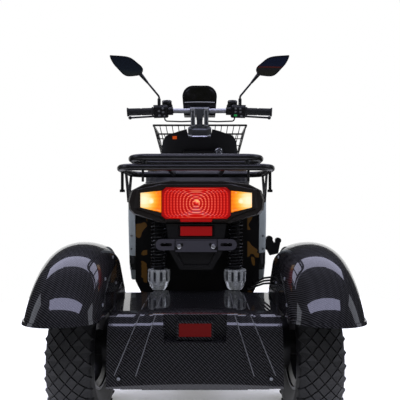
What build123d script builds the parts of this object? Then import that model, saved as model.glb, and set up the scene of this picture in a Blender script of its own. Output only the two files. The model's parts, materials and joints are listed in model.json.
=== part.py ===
"""Three-wheel electric scooter: one front wheel that steers, two wheels on a rear axle.

Sizes are in millimetres. X points to the rider's right, Y forward and Z up.
Every place is worked out from the rear axle line at Y = 0, and save() moves each piece
so that the origin lies on the floor under the middle of the whole scooter.
"""
from build123d import *
import math
import os

# Wheels and stance
wheel_radius = 215.0
wheelbase = 1190.0
rear_wheel_x = 307.0
rear_tyre_width = 112.0
front_tyre_width = 92.0
rim_radius = 127.0
tyre_shoulder_drop = 16.0
tyre_facets = 72
hub_bore_radius = 12.3
axle_pin_radius = 12.0

# Clearances
seat_gap = 0.3
panel_wall = 4.0

# Steering column, in a frame whose Z runs up the column and whose Y points forward
rake = 24.0
fork_offset = 33.0
fork_leg_x = 78.0
fork_leg_radius = 18.0
fork_crown_z = 262.0
fork_crown_height = 34.0
steerer_radius = 15.0
head_tube_radius = 25.0
head_tube_length = 190.0
casting_z = 812.0
casting_height = 42.0
casting_half_width = 55.0
post_x = 31.0
post_radius = 10.5
bar_z = 930.0
bar_radius = 11.0
clamp_half_depth = 16.0
bar_half_length = 330.0
bar_bend_x = 118.0
bar_sweep = 8.0
grip_radius = 16.5
grip_length = 118.0

# Mirrors
mirror_base_x = 187.0
mirror_rod_radius = 4.5
mirror_head_depth = 34.0
mirror_glass_depth = 2.5
mirror_bend_z = wheel_radius + 898.0
mirror_neck_x = 275.0
mirror_neck_z = wheel_radius + 1004.0
mirror_neck_length = 56.0

# Rear fenders: a crowned section turned about a line near the wheel's axis
fender_centre_y = -60.0
fender_centre_z = 220.0
fender_crest_radius = 284.0
fender_outer_x = 381.0
fender_crest_x = 308.0
fender_inner_x = 212.0
fender_outer_shoulder = 236.0
fender_inner_shoulder = 225.0
fender_rim_z = 340.0
fender_bead = 3.0
fender_bead_height = 7.0

# Rear axle, cover and shocks
axle_tube_radius = 30.0
motor_radius = 92.0
motor_half_width = 62.0
axle_flange_x = 219.0
axle_flange_radius = 74.0
cover_half_width = 208.0
cover_front_y = 30.0
cover_front_z = 350.0
cover_edge_y = -208.0
cover_edge_z = 337.0
cover_rear_y = -222.0
cover_bottom_z = 172.0
cover_edge_radius = 58.0
cover_recess_y = -186.0
cover_recess_bottom_z = 279.0
shock_x = 114.0
shock_y = 66.0
shock_bottom_z = 330.0
shock_top_z = 640.0
shock_cap_z = 353.0
shock_cap_height = 60.0
shock_cap_radius = 33.0
spring_radius = 22.0
spring_wire = 3.6
spring_pitch = 15.0
spring_sides = 14
damper_radius = 15.0

# Tail, lamps and plate bracket
tail_rear_y = -60.0
tail_front_y = 96.0
lens_depth = 10.0
plate_slot_spacing = 163.0
plate_slot_length = 32.0
plate_slot_radius = 4.5
plate_thickness = 3.0

# Rack
rack_tube_radius = 9.0
rack_rear_y = -134.0
rack_upper_z = 724.0
rack_upper_half = 178.0
rack_upper_depth = 140.0
rack_lower_z = 699.0
rack_lower_half = 208.0
rack_corner = 46.0
rack_stay_x = 195.6
rack_stay_width = 4.5
rack_lower_front_y = 100.0

# Seat
seat_rear_y = 122.0
seat_front_y = 600.0
seat_pan_height = 16.0
seat_cushion_height = 90.0
seat_half_width = 176.0
seat_hinge_y = 574.0
seat_hinge_z = 614.0
seat_pin_radius = 5.0

# Body
body_half_width = 214.0
body_rear_y = 104.0
body_front_y = 560.0
body_bottom_z = 366.0
body_top_z = 628.0
rail_x = 105.0
rail_z = 262.0
frame_tube_radius = 17.0
seat_rail_x = seat_half_width - 16.0
seat_rail_z = 612.0
seat_rail_radius = 12.0
floor_rear_y = 470.0
floor_front_y = 860.0
floor_half_width = 190.0
floor_thickness = 22.0
shield_y = -95.0
shield_half_width = 177.0
shield_foot_up = 345.0
key_x = 88.0
key_up = 769.0
key_radius = 19.0

# Basket
basket_rear_y = wheelbase - 250.0
basket_depth = 250.0
basket_rim_z = wheel_radius + 800.0
basket_height = 200.0
basket_half_width = 233.0
basket_base_half = 180.0
basket_base_inset = 24.0
basket_wire = 4.0
basket_rim_wire = 8.0
basket_wire_pitch = 31.0

# The column's frame: its origin lies level with the front axle, on the steering axis
rake_sin = math.sin(math.radians(rake))
rake_cos = math.cos(math.radians(rake))
column_y = wheelbase - fork_offset * rake_cos
column_z = wheel_radius - fork_offset * rake_sin
column = Location((0, column_y, column_z), (rake, 0, 0))

# The part's middle, from the fenders' rear rims to the front tyre's tread
fender_rim_drop = fender_rim_z - fender_centre_z
fender_rear_reach = fender_centre_y - math.sqrt((fender_crest_radius + fender_bead) ** 2 - fender_rim_drop ** 2)
front_reach = wheelbase + wheel_radius
middle_y = (front_reach + fender_rear_reach) / 2


def save(node, shape):
    """Write one node, moved so that the origin is under the scooter's middle."""
    export_step(Pos(0, -middle_y, 0) * shape, f"parts/{node}.step")


def outline(*edges):
    """The face inside a closed run of edges."""
    return make_face(Curve() + list(edges))


def polygon(points):
    """The face inside a closed run of straight edges."""
    return make_face(Polyline(*points, close=True))


def scaled_outline(points, centre, x_factor, z_factor):
    """An outline drawn smaller or larger about a centre."""
    return [(centre[0] + (x - centre[0]) * x_factor, centre[1] + (z - centre[1]) * z_factor) for x, z in points]


def side_prism(points, x_low, x_high):
    """A prism along X from an outline of (y, z) points."""
    face = polygon([(y, z) for y, z in points])
    plane = Plane(origin=(x_low, 0, 0), x_dir=(0, 1, 0), z_dir=(1, 0, 0))
    return extrude(plane * face, x_high - x_low)


def rear_prism(points, y_low, y_high):
    """A prism along Y from an outline of (x, z) points seen from behind."""
    face = polygon(points)
    plane = Plane(origin=(0, y_high, 0), x_dir=(1, 0, 0), z_dir=(0, -1, 0))
    return extrude(plane * face, y_high - y_low)


def block(x, y, z):
    """A box between pairs of limits along each axis."""
    size = [high - low for low, high in (x, y, z)]
    middle = [(high + low) / 2 for low, high in (x, y, z)]
    return Pos(*middle) * Box(*size)


def rod(start, end, radius):
    """A round bar between two points."""
    axis = Vector(*end) - Vector(*start)
    plane = Plane(origin=start, z_dir=axis)
    return extrude(plane * Circle(radius), axis.length)


def tube_along(points, bend_radius, radius):
    """A round bar bent along a run of points."""
    path = FilletPolyline(*points, radius=bend_radius)
    return sweep(Plane(origin=path @ 0, z_dir=path % 0) * Circle(radius), path)


def mirrored(shape):
    """A piece and its twin on the other side, as one node of two solids."""
    return [shape, mirror(shape, about=Plane.YZ)]


def pair(shape):
    """Both sides of a mirrored piece in one compound."""
    return Compound(children=mirrored(shape))


def about_axle(face, centre):
    """Turn a face of (x, radius) points about a line along X through a centre (y, z)."""
    return Pos(0, centre[0], centre[1]) * revolve(face, Axis.X)


def ring(x_low, x_high, r_low, r_high):
    """A washer-like face to be turned about the X axis."""
    return polygon([(x_low, r_low), (x_high, r_low), (x_high, r_high), (x_low, r_high)])


# Wheels

def tyre(width):
    """A tyre about the X axis, centred on X = 0, with a stepped crown, bulged walls and flat facets round it."""
    half = width / 2
    shoulder = wheel_radius - tyre_shoulder_drop
    bore = (rim_radius + seat_gap) / math.cos(math.pi / tyre_facets)
    right = [
        (half * 0.72, bore), (half, (rim_radius + shoulder) / 2), (half * 0.9, shoulder),
        (half * 0.55, wheel_radius - tyre_shoulder_drop / 4), (half * 0.2, wheel_radius),
    ]
    section = right + [(-x, radius) for x, radius in reversed(right)]

    def corner(number, point):
        """A point of the section at one facet's edge, with an edge at the lowest place."""
        x, radius = point
        angle = 2 * math.pi * number / tyre_facets
        return (x, radius * math.sin(angle), -radius * math.cos(angle))

    faces = []
    for number in range(tyre_facets):
        for start, end in zip(section, section[1:] + section[:1]):
            corners = [
                corner(number, start), corner(number, end), corner(number + 1, end), corner(number + 1, start),
            ]
            faces.append(Face(Wire.make_polygon(corners)))
    return Solid(Shell(faces))


def rim(width, hub_low, hub_high, hub_radius, bore_radius, spokes):
    """A cast rim about the X axis: barrel, hub and tapered spokes."""
    bead = width / 2 * 0.72
    barrel = revolve(
        polygon([
            (-bead, rim_radius - 8), (-bead + 5, rim_radius - 8), (-bead + 14, rim_radius - 22),
            (bead - 14, rim_radius - 22), (bead - 5, rim_radius - 8), (bead, rim_radius - 8),
            (bead, rim_radius), (-bead, rim_radius),
        ]),
        Axis.X,
    )
    hub = revolve(ring(hub_low, hub_high, bore_radius, hub_radius), Axis.X)
    spoke = extrude(Plane.YZ * polygon([
        (-15, hub_radius - 4), (15, hub_radius - 4), (9, rim_radius - 18), (-9, rim_radius - 18),
    ]), 12, both=True)
    wheel = barrel + hub
    for number in range(spokes):
        wheel += Rot(X=360 / spokes * number) * spoke
    return wheel


def rear_wheel(side):
    """Tyre and rim of one rear wheel; side is 1 for the right and -1 for the left."""
    centre = Pos(side * rear_wheel_x, 0, wheel_radius)
    hub_inner = axle_flange_x + 1.0 - rear_wheel_x
    cast = rim(rear_tyre_width, hub_inner, 42.0, 34.0, hub_bore_radius, 6)
    drum = revolve(ring(hub_inner, hub_inner + 34.0, 30.0, 70.0), Axis.X)
    cap = revolve(ring(30.0, 46.0, 0.0, 22.0), Axis.X)
    cast = cast + drum + cap
    if side < 0:
        cast = mirror(cast, about=Plane.YZ)
    return centre * tyre(rear_tyre_width), centre * cast


def front_wheel():
    """Tyre and rim of the front wheel with its brake disc."""
    centre = Pos(0, wheelbase, wheel_radius)
    cast = rim(front_tyre_width, -34.0, 34.0, 30.0, hub_bore_radius, 6)
    disc = revolve(ring(38.0, 42.0, 60.0, 90.0), Axis.X)
    carrier = revolve(ring(34.0, 42.0, 20.0, 62.0), Axis.X)
    return centre * tyre(front_tyre_width), centre * (cast + disc + carrier)


# Steering

def fork():
    """Two legs with the wheel pin, a crown and the steerer tube."""
    shape = Part()
    crown_top = fork_crown_z + fork_crown_height
    for side in (-1, 1):
        x = side * fork_leg_x
        shape += rod((x, fork_offset, -26), (x, fork_offset, 150), fork_leg_radius)
        shape += rod((x, fork_offset, 140), (x, fork_offset, crown_top + 18), fork_leg_radius - 4)
    shape += rod((-fork_leg_x, fork_offset, 0), (fork_leg_x, fork_offset, 0), axle_pin_radius)
    crown = block((-fork_leg_x - 22, fork_leg_x + 22), (-24, fork_offset + 22), (fork_crown_z, crown_top))
    shape += fillet(crown.edges().filter_by(Axis.Z), 18)
    shape += rod((0, 0, crown_top - 2), (0, 0, casting_z + 10), steerer_radius)
    return column * shape


def front_fender():
    """A crowned mudguard over the front wheel with its two stays to the fork legs."""
    inner = wheel_radius + 14.0
    half = 57.0
    skin = 4.0
    section = outline(
        Line((half, inner - 34), (half, inner - 6)),
        ThreePointArc((half, inner - 6), (0, inner + 10), (-half, inner - 6)),
        Line((-half, inner - 6), (-half, inner - 34)),
        Line((-half, inner - 34), (-half + skin, inner - 34)),
        Line((-half + skin, inner - 34), (-half + skin, inner - 8)),
        ThreePointArc((-half + skin, inner - 8), (0, inner + 6), (half - skin, inner - 8)),
        Line((half - skin, inner - 8), (half - skin, inner - 34)),
        Line((half - skin, inner - 34), (half, inner - 34)),
    )
    whole = revolve(section, Axis.X)
    keep = side_prism([(0, 0), (-400, 12), (-400, 400), (369, 400), (369, 200)], -90, 90)
    shell = Pos(0, wheelbase, wheel_radius) * (whole & keep)
    boss_end = fork_leg_x - fork_leg_radius + 4 - seat_gap
    for side in (-1, 1):
        shell += column * rod((side * (half - 1), fork_offset, 208), (side * boss_end, fork_offset, 208), 8)
    return shell


def stem_riser():
    """Casting on the steerer, two posts and the clamp that holds the handlebar."""
    depth = 34.0
    low = casting_z
    high = casting_z + casting_height
    half = casting_half_width
    plan = [
        (-half, -8), (-half * 0.6, -depth), (half * 0.6, -depth), (half, -8),
        (half, 10), (half * 0.6, depth), (-half * 0.6, depth), (-half, 10),
    ]
    casting = extrude(Pos(0, 0, low) * polygon(plan), high - low)
    top_edges = casting.faces().sort_by(Axis.Z)[-1].edges()
    casting = chamfer(top_edges, 5)
    casting -= Pos(0, 0, low) * Cylinder(steerer_radius + seat_gap, 24, align=(Align.CENTER, Align.CENTER, Align.MIN))
    shape = casting
    for side in (-1, 1):
        shape += rod((side * post_x, 0, high - 6), (side * post_x, 0, bar_z + 14), post_radius)
    bridge = block(
        (-post_x - 13, post_x + 13), (-clamp_half_depth, clamp_half_depth), (bar_z - 17, bar_z + 17),
    )
    shape += fillet(bridge.edges().filter_by(Axis.X), 7)
    middle = block((-14, 14), (-9, 9), (high - 4, bar_z - 14))
    shape += middle
    shape -= rod((-90, 0, bar_z), (90, 0, bar_z), bar_radius + seat_gap)
    return column * shape


def bar_end_point(distance, forward=0.0, up=0.0):
    """A point on the right half of the bar, by its distance past the bend."""
    angle = math.radians(bar_sweep)
    x = bar_bend_x + distance * math.cos(angle) + forward * math.sin(angle)
    y = -distance * math.sin(angle) + forward * math.cos(angle)
    return (x, y, bar_z + up)


def handlebar():
    """A round bar with its two ends swept back."""
    end = (bar_half_length - bar_bend_x) / math.cos(math.radians(bar_sweep))
    right = bar_end_point(end)
    left = (-right[0], right[1], right[2])
    bar = tube_along([left, (-bar_bend_x, 0, bar_z), (bar_bend_x, 0, bar_z), right], 60, bar_radius)
    return column * bar


# The right-hand half of the bar past its bend: X runs outward along it
bar_side = Location((bar_bend_x, 0, bar_z), (0, 0, -bar_sweep))
bar_side_length = (bar_half_length - bar_bend_x) / math.cos(math.radians(bar_sweep))


def grip():
    """A rubber sleeve with end flanges and two grooves, over the bar's end."""
    low = bar_side_length - grip_length
    high = bar_side_length + 3
    bore = bar_radius + seat_gap
    sleeve = polygon([
        (low, bore), (low, grip_radius + 4), (low + 5, grip_radius + 4), (low + 9, grip_radius),
        (low + 52, grip_radius), (low + 54, grip_radius - 1.5), (low + 58, grip_radius - 1.5),
        (low + 60, grip_radius), (high - 9, grip_radius), (high - 5, grip_radius + 3),
        (high, grip_radius + 3), (high, 0), (bar_side_length + seat_gap, 0), (bar_side_length + seat_gap, bore),
    ])
    return column * bar_side * revolve(sleeve, Axis.X)


pod_low = 28.0
pod_top = 27.0
pod_high = bar_side_length - grip_length - 1.0


def switch_pod():
    """The switch housing clamped on the bar inboard of a grip."""
    body = block((pod_low, pod_high), (-21, 23), (-29, pod_top))
    body = fillet(body.edges().filter_by(Axis.X), 11)
    body = chamfer(body.faces().sort_by(Axis.X)[0].edges(), 5)
    body -= rod((pod_low - 5, 0, 0), (pod_high + 5, 0, 0), bar_radius + seat_gap)
    return column * bar_side * body


def brake_master():
    """A clamp on the bar with its round fluid cup, lever pivot and lever blade."""
    clamp = block((6, pod_low - 1), (-17, 30), (-17, 17))
    clamp = fillet(clamp.edges().filter_by(Axis.X), 8)
    cup = Pos(30, 50, 27) * Cylinder(23, 24)
    cup = chamfer(cup.edges().sort_by(Axis.Z)[-1], 3)
    clamp += block((6, pod_low - 1), (17, 46), (4, 22))
    clamp += cup
    clamp -= rod((-10, 0, 0), (pod_low + 10, 0, 0), bar_radius + seat_gap)
    return column * bar_side * clamp


def brake_lever():
    """A thin blade that runs outward in front of the grip and ends in a ball."""
    knuckle = Pos(16, 30 + seat_gap + 8, -6) * Cylinder(8, 11)
    path = [(16, 38.5, -8), (56, 60, -34), (130, 62, -37), (bar_side_length - 8, 52, -37)]
    blade = tube_along(path, 18, 4.6)
    ball = Pos(*path[-1]) * Sphere(8.5)
    return column * bar_side * (knuckle + blade + ball)


def mirror_foot():
    """Where the right mirror's boot stands on its switch pod."""
    return (column * Location(bar_end_point(mirror_base_x - bar_bend_x, 0, pod_top + seat_gap))).position


def mirror_stem():
    """The boot and bent rod of one mirror, in upright axes."""
    foot = mirror_foot()
    y = foot.Y
    z = foot.Z
    boot = rod((foot.X, y, z - 8), (foot.X, y, z + 30), 7.5)
    boot -= column * bar_side * block((0, 150), (-40, 40), (-60, pod_top + seat_gap))
    lower = Vector(foot.X, y, mirror_bend_z)
    upper = Vector(mirror_neck_x, y, mirror_neck_z)
    along = (upper - lower).normalized()
    neck_foot = upper - along * mirror_neck_length
    stem_end = neck_foot + along * 12
    stem = tube_along([(foot.X, y, z + 26), lower, stem_end], 20, mirror_rod_radius)
    neck = Plane(origin=neck_foot, z_dir=along) * Cone(
        mirror_rod_radius + 0.8, 9.5, mirror_neck_length, align=(Align.CENTER, Align.CENTER, Align.MIN))
    return boot + stem + (neck - mirror_form(y, 1.012))


mirror_centre = (332, wheel_radius + 1039)
mirror_rises = [
    (408, 46), (360, 43), (314, 33), (281, 8), (259, -19),
    (266, -40), (296, -50), (341, -48), (374, -18), (405, 23),
]
mirror_outline = [(x, mirror_centre[1] + rise) for x, rise in mirror_rises]


def mirror_face(y, x_factor, z_factor):
    """The head's rounded leaf outline at one place along Y, drawn smaller about its middle."""
    points = scaled_outline(mirror_outline, mirror_centre, x_factor, z_factor)
    face = outline(Spline(*points, periodic=True))
    return Plane(origin=(0, y, 0), x_dir=(1, 0, 0), z_dir=(0, -1, 0)) * face


def mirror_form(y, size):
    """The filled form of a mirror head, from its rim to its smaller front."""
    rim_face = mirror_face(y - 10, size, size)
    front_face = mirror_face(y - 10 + mirror_head_depth, 0.7 * size, 0.7 * size)
    return loft([rim_face, front_face])


def mirror_head():
    """A leaf-shaped housing with a recess for the glass on its rear face."""
    y = mirror_foot().Y
    depth = mirror_glass_depth + 2
    recess = extrude(mirror_face(y - 10 + depth, 0.93, 0.9), depth + 5)
    return mirror_form(y, 1.0) - recess


def mirror_glass():
    """The flat pane in a mirror's recess."""
    y = mirror_foot().Y
    low = y - 10 + 2 - seat_gap
    return extrude(mirror_face(low + mirror_glass_depth, 0.925, 0.893), mirror_glass_depth)


display_half = 81.0
display_base_z = wheel_radius + 825.0
display_shoulder_z = wheel_radius + 905.0
display_top_z = wheel_radius + 960.0
display_rear_y = wheelbase - 388.0
display_front_y = wheelbase - 285.0
headlamp_radius = 52.0
headlamp_z = wheel_radius + 887.0


def display_face(y, scale):
    """The dome's outline across the scooter at one place, drawn smaller about its middle."""
    middle = (display_base_z + display_top_z) / 2
    half = display_half * scale
    base = middle + (display_base_z - middle) * scale
    shoulder = middle + (display_shoulder_z - middle) * scale
    top = middle + (display_top_z - middle) * scale
    face = outline(
        Line((-half * 0.92, base), (half * 0.92, base)),
        Line((half * 0.92, base), (half, shoulder)),
        ThreePointArc((half, shoulder), (half * 0.83, top - 16 * scale), (half * 0.38, top)),
        Line((half * 0.38, top), (-half * 0.38, top)),
        ThreePointArc((-half * 0.38, top), (-half * 0.83, top - 16 * scale), (-half, shoulder)),
        Line((-half, shoulder), (-half * 0.92, base)),
    )
    return Plane(origin=(0, y, 0), x_dir=(1, 0, 0), z_dir=(0, -1, 0)) * face


def display_housing():
    """A domed housing over the bar that holds the headlamp in front and the screen behind."""
    shoulder_y = display_front_y - 30
    body = extrude(display_face(shoulder_y, 1.0), shoulder_y - display_rear_y)
    body += loft([display_face(shoulder_y, 1.0), display_face(display_front_y, 0.86)])
    slope = side_prism([
        (display_rear_y - 5, display_base_z - 5), (display_rear_y - 5, display_base_z + 58), (display_rear_y + 26, display_base_z - 5),
    ], -90, 90)
    lamp_hole = rod((0, display_front_y - 20, headlamp_z), (0, display_front_y + 10, headlamp_z), headlamp_radius)
    foot_z = column_z + bar_z * rake_cos
    foot = block((-26, 26), (display_rear_y - 25, display_rear_y + 30), (foot_z - 8, foot_z + 10))
    clamp_zone = block((-60, 60), (-100, clamp_half_depth + seat_gap), (bar_z - 60, bar_z + 60))
    return body - slope - lamp_hole + (foot - column * clamp_zone)


def headlamp():
    """The round lamp glass in the front of the display housing."""
    back = display_front_y - 20 + seat_gap
    lamp = rod((0, back, headlamp_z), (0, display_front_y + 4, headlamp_z), headlamp_radius - seat_gap)
    return chamfer(lamp.faces().sort_by(Axis.Y)[-1].edges(), 3)


# Rear axle and its covers

def rear_axle():
    """Axle tube with the motor and differential casing, end flanges and wheel pins."""
    half = polygon([
        (0, 0), (0, motor_radius), (motor_half_width - 14, motor_radius), (motor_half_width, motor_radius - 14),
        (motor_half_width, 60), (motor_half_width + 40, axle_tube_radius), (axle_flange_x - 6, axle_tube_radius),
        (axle_flange_x - 6, axle_flange_radius), (axle_flange_x, axle_flange_radius),
        (axle_flange_x, axle_pin_radius), (rear_wheel_x + 25, axle_pin_radius), (rear_wheel_x + 25, 0),
    ])
    right = about_axle(half, (0, wheel_radius))
    return right + mirror(right, about=Plane.YZ)


def swing_arms():
    """Two arms from the pivot under the frame back to the axle, with their pivot and shock seats."""
    shape = Part()
    pivot_y = 330.0
    pivot_z = rail_z - frame_tube_radius - 16 - seat_gap
    saddle_z = wheel_radius + axle_tube_radius + seat_gap
    for side in (-1, 1):
        x = side * 160.0
        arm = side_prism([
            (pivot_y + 22, pivot_z - 20), (pivot_y + 22, pivot_z + 18), (shock_y + 20, 276), (14, 276), (-34, 262),
            (-34, wheel_radius), (34, wheel_radius), (80, 226), (pivot_y - 20, pivot_z - 20),
        ], x - 14, x + 14)
        shape += arm - rod((x - 20, 0, wheel_radius), (x + 20, 0, wheel_radius), axle_tube_radius + seat_gap)
        seat_low, seat_high = sorted((side * (shock_x - 20), side * 150.0))
        shape += block((seat_low, seat_high), (shock_y - 18, shock_y + 18), (258, shock_bottom_z - seat_gap))
    shape += rod((-160, pivot_y, pivot_z), (160, pivot_y, pivot_z), 16)
    return shape


def cover_prism(inset, half_width, front=0.0, bottom=0.0):
    """The cover's side outline, moved in by an inset, as a block across its width."""
    points = [
        (cover_front_y + front, cover_front_z - inset), (cover_edge_y + inset, cover_edge_z - inset),
        (cover_rear_y + inset, cover_bottom_z - bottom), (cover_front_y + front, cover_bottom_z - bottom),
    ]
    solid = side_prism(points, -half_width, half_width)
    corner = solid.edges().filter_by(Axis.X).sort_by(Axis.Z)[-2]
    return fillet(corner, cover_edge_radius - inset)


def cover_band(half_at_front, half_at_edge, half_at_bottom, lift):
    """A raised stretch of the cover whose edges spread towards the bottom."""
    layer = cover_prism(-lift, cover_half_width) - cover_prism(1.0, cover_half_width + 1, 5, 5)
    down = Plane(origin=(0, 0, 0), x_dir=(1, 0, 0), z_dir=(0, -1, 1))
    slant = math.sqrt(0.5)
    front_v = (cover_front_y + cover_front_z) * slant
    edge_v = (cover_edge_y + cover_edge_z) * slant
    bottom_v = (cover_rear_y + cover_bottom_z) * slant
    plan = polygon([
        (-half_at_front, front_v + 10), (half_at_front, front_v + 10), (half_at_edge, edge_v),
        (half_at_bottom, bottom_v - 10), (-half_at_bottom, bottom_v - 10), (-half_at_edge, edge_v),
    ])
    column_block = extrude(down * plan, 700, both=True)
    return layer & column_block


def rear_cover():
    """The shell over the axle, with raised centre bands, side walls and two posts to the axle."""
    shell = cover_prism(0.0, cover_half_width) - cover_prism(panel_wall, cover_half_width - panel_wall, 5, 5)
    shell += cover_band(125, 142, 176, 3.0)
    shell += cover_band(98, 103, 124, 6.0)
    side_reach = cover_half_width + 5
    axle_hole = rod((-side_reach, 0, wheel_radius), (side_reach, 0, wheel_radius), axle_tube_radius + 4)
    axle_slot = block(
        (-cover_half_width - 5, cover_half_width + 5), (-axle_tube_radius - 4, axle_tube_radius + 4),
        (cover_bottom_z - 5, wheel_radius),
    )
    shell -= axle_hole + axle_slot
    low, high = cover_recess_bottom_z, cover_front_z + 10
    rear = cover_rear_y - 20
    recess = rear_prism([(-79, high), (-72, low), (72, low), (79, high)], rear, cover_recess_y)
    tray = rear_prism(
        [(-83, high), (-76, low - panel_wall), (76, low - panel_wall), (83, high)],
        rear, cover_recess_y + panel_wall,
    )
    shell = shell + (tray & cover_prism(0.0, cover_half_width)) - recess
    frame = rear_prism([(-44, 281), (-44, 326), (44, 326), (44, 281)], cover_recess_y - 18, cover_recess_y + 1)
    pocket = rear_prism([(-39, 288), (-39, 320), (39, 320), (39, 288)], rear, cover_recess_y - 12)
    shell += frame - pocket
    slope = (cover_front_z - cover_edge_z) / (cover_front_y - cover_edge_y)
    post_top = cover_front_z - slope * (cover_front_y + 16) - panel_wall / 2
    for side in (-1, 1):
        x = side * 130.0
        low = wheel_radius + axle_tube_radius + seat_gap
        shell += block((x - 9, x + 9), (-16, 16), (low, post_top))
    return shell


def cover_reflector():
    """The dark red reflector in the cover's recess."""
    front = cover_recess_y - 12 - seat_gap
    return rear_prism([(-38.5, 288.5), (-38.5, 319.5), (38.5, 319.5), (38.5, 288.5)], front - 5, front)


def fender_face(inset, low_radius):
    """The fender's section as a face of (x, radius) points, moved in by an inset."""
    outer = fender_outer_x - inset
    inner = fender_inner_x + inset
    crest = fender_crest_radius - inset
    return outline(
        Line((outer, low_radius), (outer, fender_outer_shoulder)),
        EllipticalCenterArc(
            (fender_crest_x, fender_outer_shoulder), outer - fender_crest_x, crest - fender_outer_shoulder,
            start_angle=0, arc_size=90,
        ),
        EllipticalCenterArc(
            (fender_crest_x, fender_inner_shoulder), fender_crest_x - inner, crest - fender_inner_shoulder,
            start_angle=90, arc_size=90,
        ),
        Line((inner, fender_inner_shoulder), (inner, low_radius)),
        Line((inner, low_radius), (outer, low_radius)),
    )


def fender_solid(inset, low_radius, floor_z):
    """The filled form of a fender above a level."""
    centre = (fender_centre_y, fender_centre_z)
    whole = about_axle(fender_face(inset, low_radius), centre)
    above = block((150, 450), (-500, 400), (floor_z, 700))
    return whole & above


def fender():
    """The right rear fender: a crowned shell with a proud bead along its level rim."""
    shell = fender_solid(0.0, 100.0, fender_rim_z) - fender_solid(panel_wall, 90.0, fender_rim_z - 5)
    bead_zone = block((150, 450), (-500, 400), (fender_rim_z, fender_rim_z + fender_bead_height))
    bead = (fender_solid(-fender_bead, 100.0, fender_rim_z) - fender_solid(1.0, 90.0, fender_rim_z - 5)) & bead_zone
    bead -= block((150, fender_inner_x + 1), (-500, 400), (fender_rim_z - 1, 400))
    shell += bead
    front_cut = side_prism([
        (fender_centre_y - 2, 480), (60, fender_rim_z - 1), (400, fender_rim_z - 1), (400, 600), (fender_centre_y - 2, 600),
    ], 150, fender_inner_x + 34)
    return shell - front_cut


def fender_bracket():
    """The steel plate between the cover's side and the fender's inner wall, on the right."""
    x_low = cover_half_width + seat_gap
    x_high = fender_inner_x - seat_gap
    foot_z = wheel_radius + axle_tube_radius + seat_gap
    return side_prism([(-34, foot_z), (30, foot_z), (22, 366), (-96, 374), (-110, 340)], x_low, x_high)


def shock_body():
    """Damper tube with its end fittings, chrome cap left apart."""
    tube = rod((shock_x, shock_y, shock_bottom_z), (shock_x, shock_y, shock_top_z), damper_radius)
    top_cup = rod((shock_x, shock_y, shock_top_z - 16), (shock_x, shock_y, shock_top_z), 29)
    return tube + top_cup


def shock_cap():
    """The fluted chrome cup at the foot of a shock."""
    low = shock_cap_z
    high = shock_cap_z + shock_cap_height
    face = polygon([
        (damper_radius + seat_gap, low), (20, low), (27, low + 10), (29, low + 20), (shock_cap_radius, low + 26),
        (shock_cap_radius, high), (damper_radius + seat_gap, high),
    ])
    cup = revolve(Plane.XZ * face, Axis.Z)
    for number in range(12):
        flute = Rot(Z=30 * number) * Pos(shock_cap_radius + 1.5, 0, high - 17) * Cylinder(3.5, 26)
        cup -= flute
    return Pos(shock_x, shock_y, 0) * cup


def shock_spring():
    """The coil spring between the cap and the top cup, with square wire run round in short straights."""
    low = shock_cap_z + shock_cap_height + spring_wire + seat_gap
    high = shock_top_z - 16 - spring_wire - seat_gap
    turns = (high - low) / spring_pitch
    count = int(turns * spring_sides)
    points = []
    for number in range(count + 1):
        angle = 2 * math.pi * number / spring_sides
        height = low + (high - low) * number / count
        points.append((spring_radius * math.cos(angle), spring_radius * math.sin(angle), height))
    path = Polyline(*points)
    section = Plane(origin=points[0], z_dir=path % 0) * Rectangle(1.8 * spring_wire, 1.8 * spring_wire)
    return Pos(shock_x, shock_y, 0) * sweep(section, path, transition=Transition.RIGHT)


# Frame and body

frame_front_y = floor_front_y + 33
frame_rear_y = 250.0
seat_post_y = 470.0
seat_rail_rear_y = 20.0
seat_rail_front_y = body_front_y - 24
down_tube_radius = 18.0
post_tube_radius = seat_rail_radius - 1.5
shock_tube_y = shock_y + spring_radius + 2 * spring_wire + post_tube_radius + 2


def head_and_down_tube():
    """The head tube with the down tube that drops from it to the floor rails."""
    head_low = fork_crown_z + fork_crown_height + 0.5
    head = rod((0, 0, head_low), (0, 0, head_low + head_tube_length), head_tube_radius)
    top = (column * Location((0, -12, head_low + 45))).position
    down = rod((top.X, top.Y, top.Z), (0, frame_front_y, rail_z), down_tube_radius)
    bore = rod((0, 0, head_low - 10), (0, 0, head_low + head_tube_length + 10), steerer_radius + seat_gap)
    return column * head + down - column * bore


def shock_mount(side):
    """The bent plate over one shock, from its top seat down to the cross tube."""
    x_low, x_high = side * shock_x - 20, side * shock_x + 20
    rear, front = shock_y - 24, shock_tube_y - 4
    return side_prism([
        (rear, shock_top_z), (front - 5, shock_top_z), (front - 5, seat_rail_z), (front, seat_rail_z),
        (front, shock_top_z + 5), (rear, shock_top_z + 5),
    ], x_low, x_high)


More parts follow.
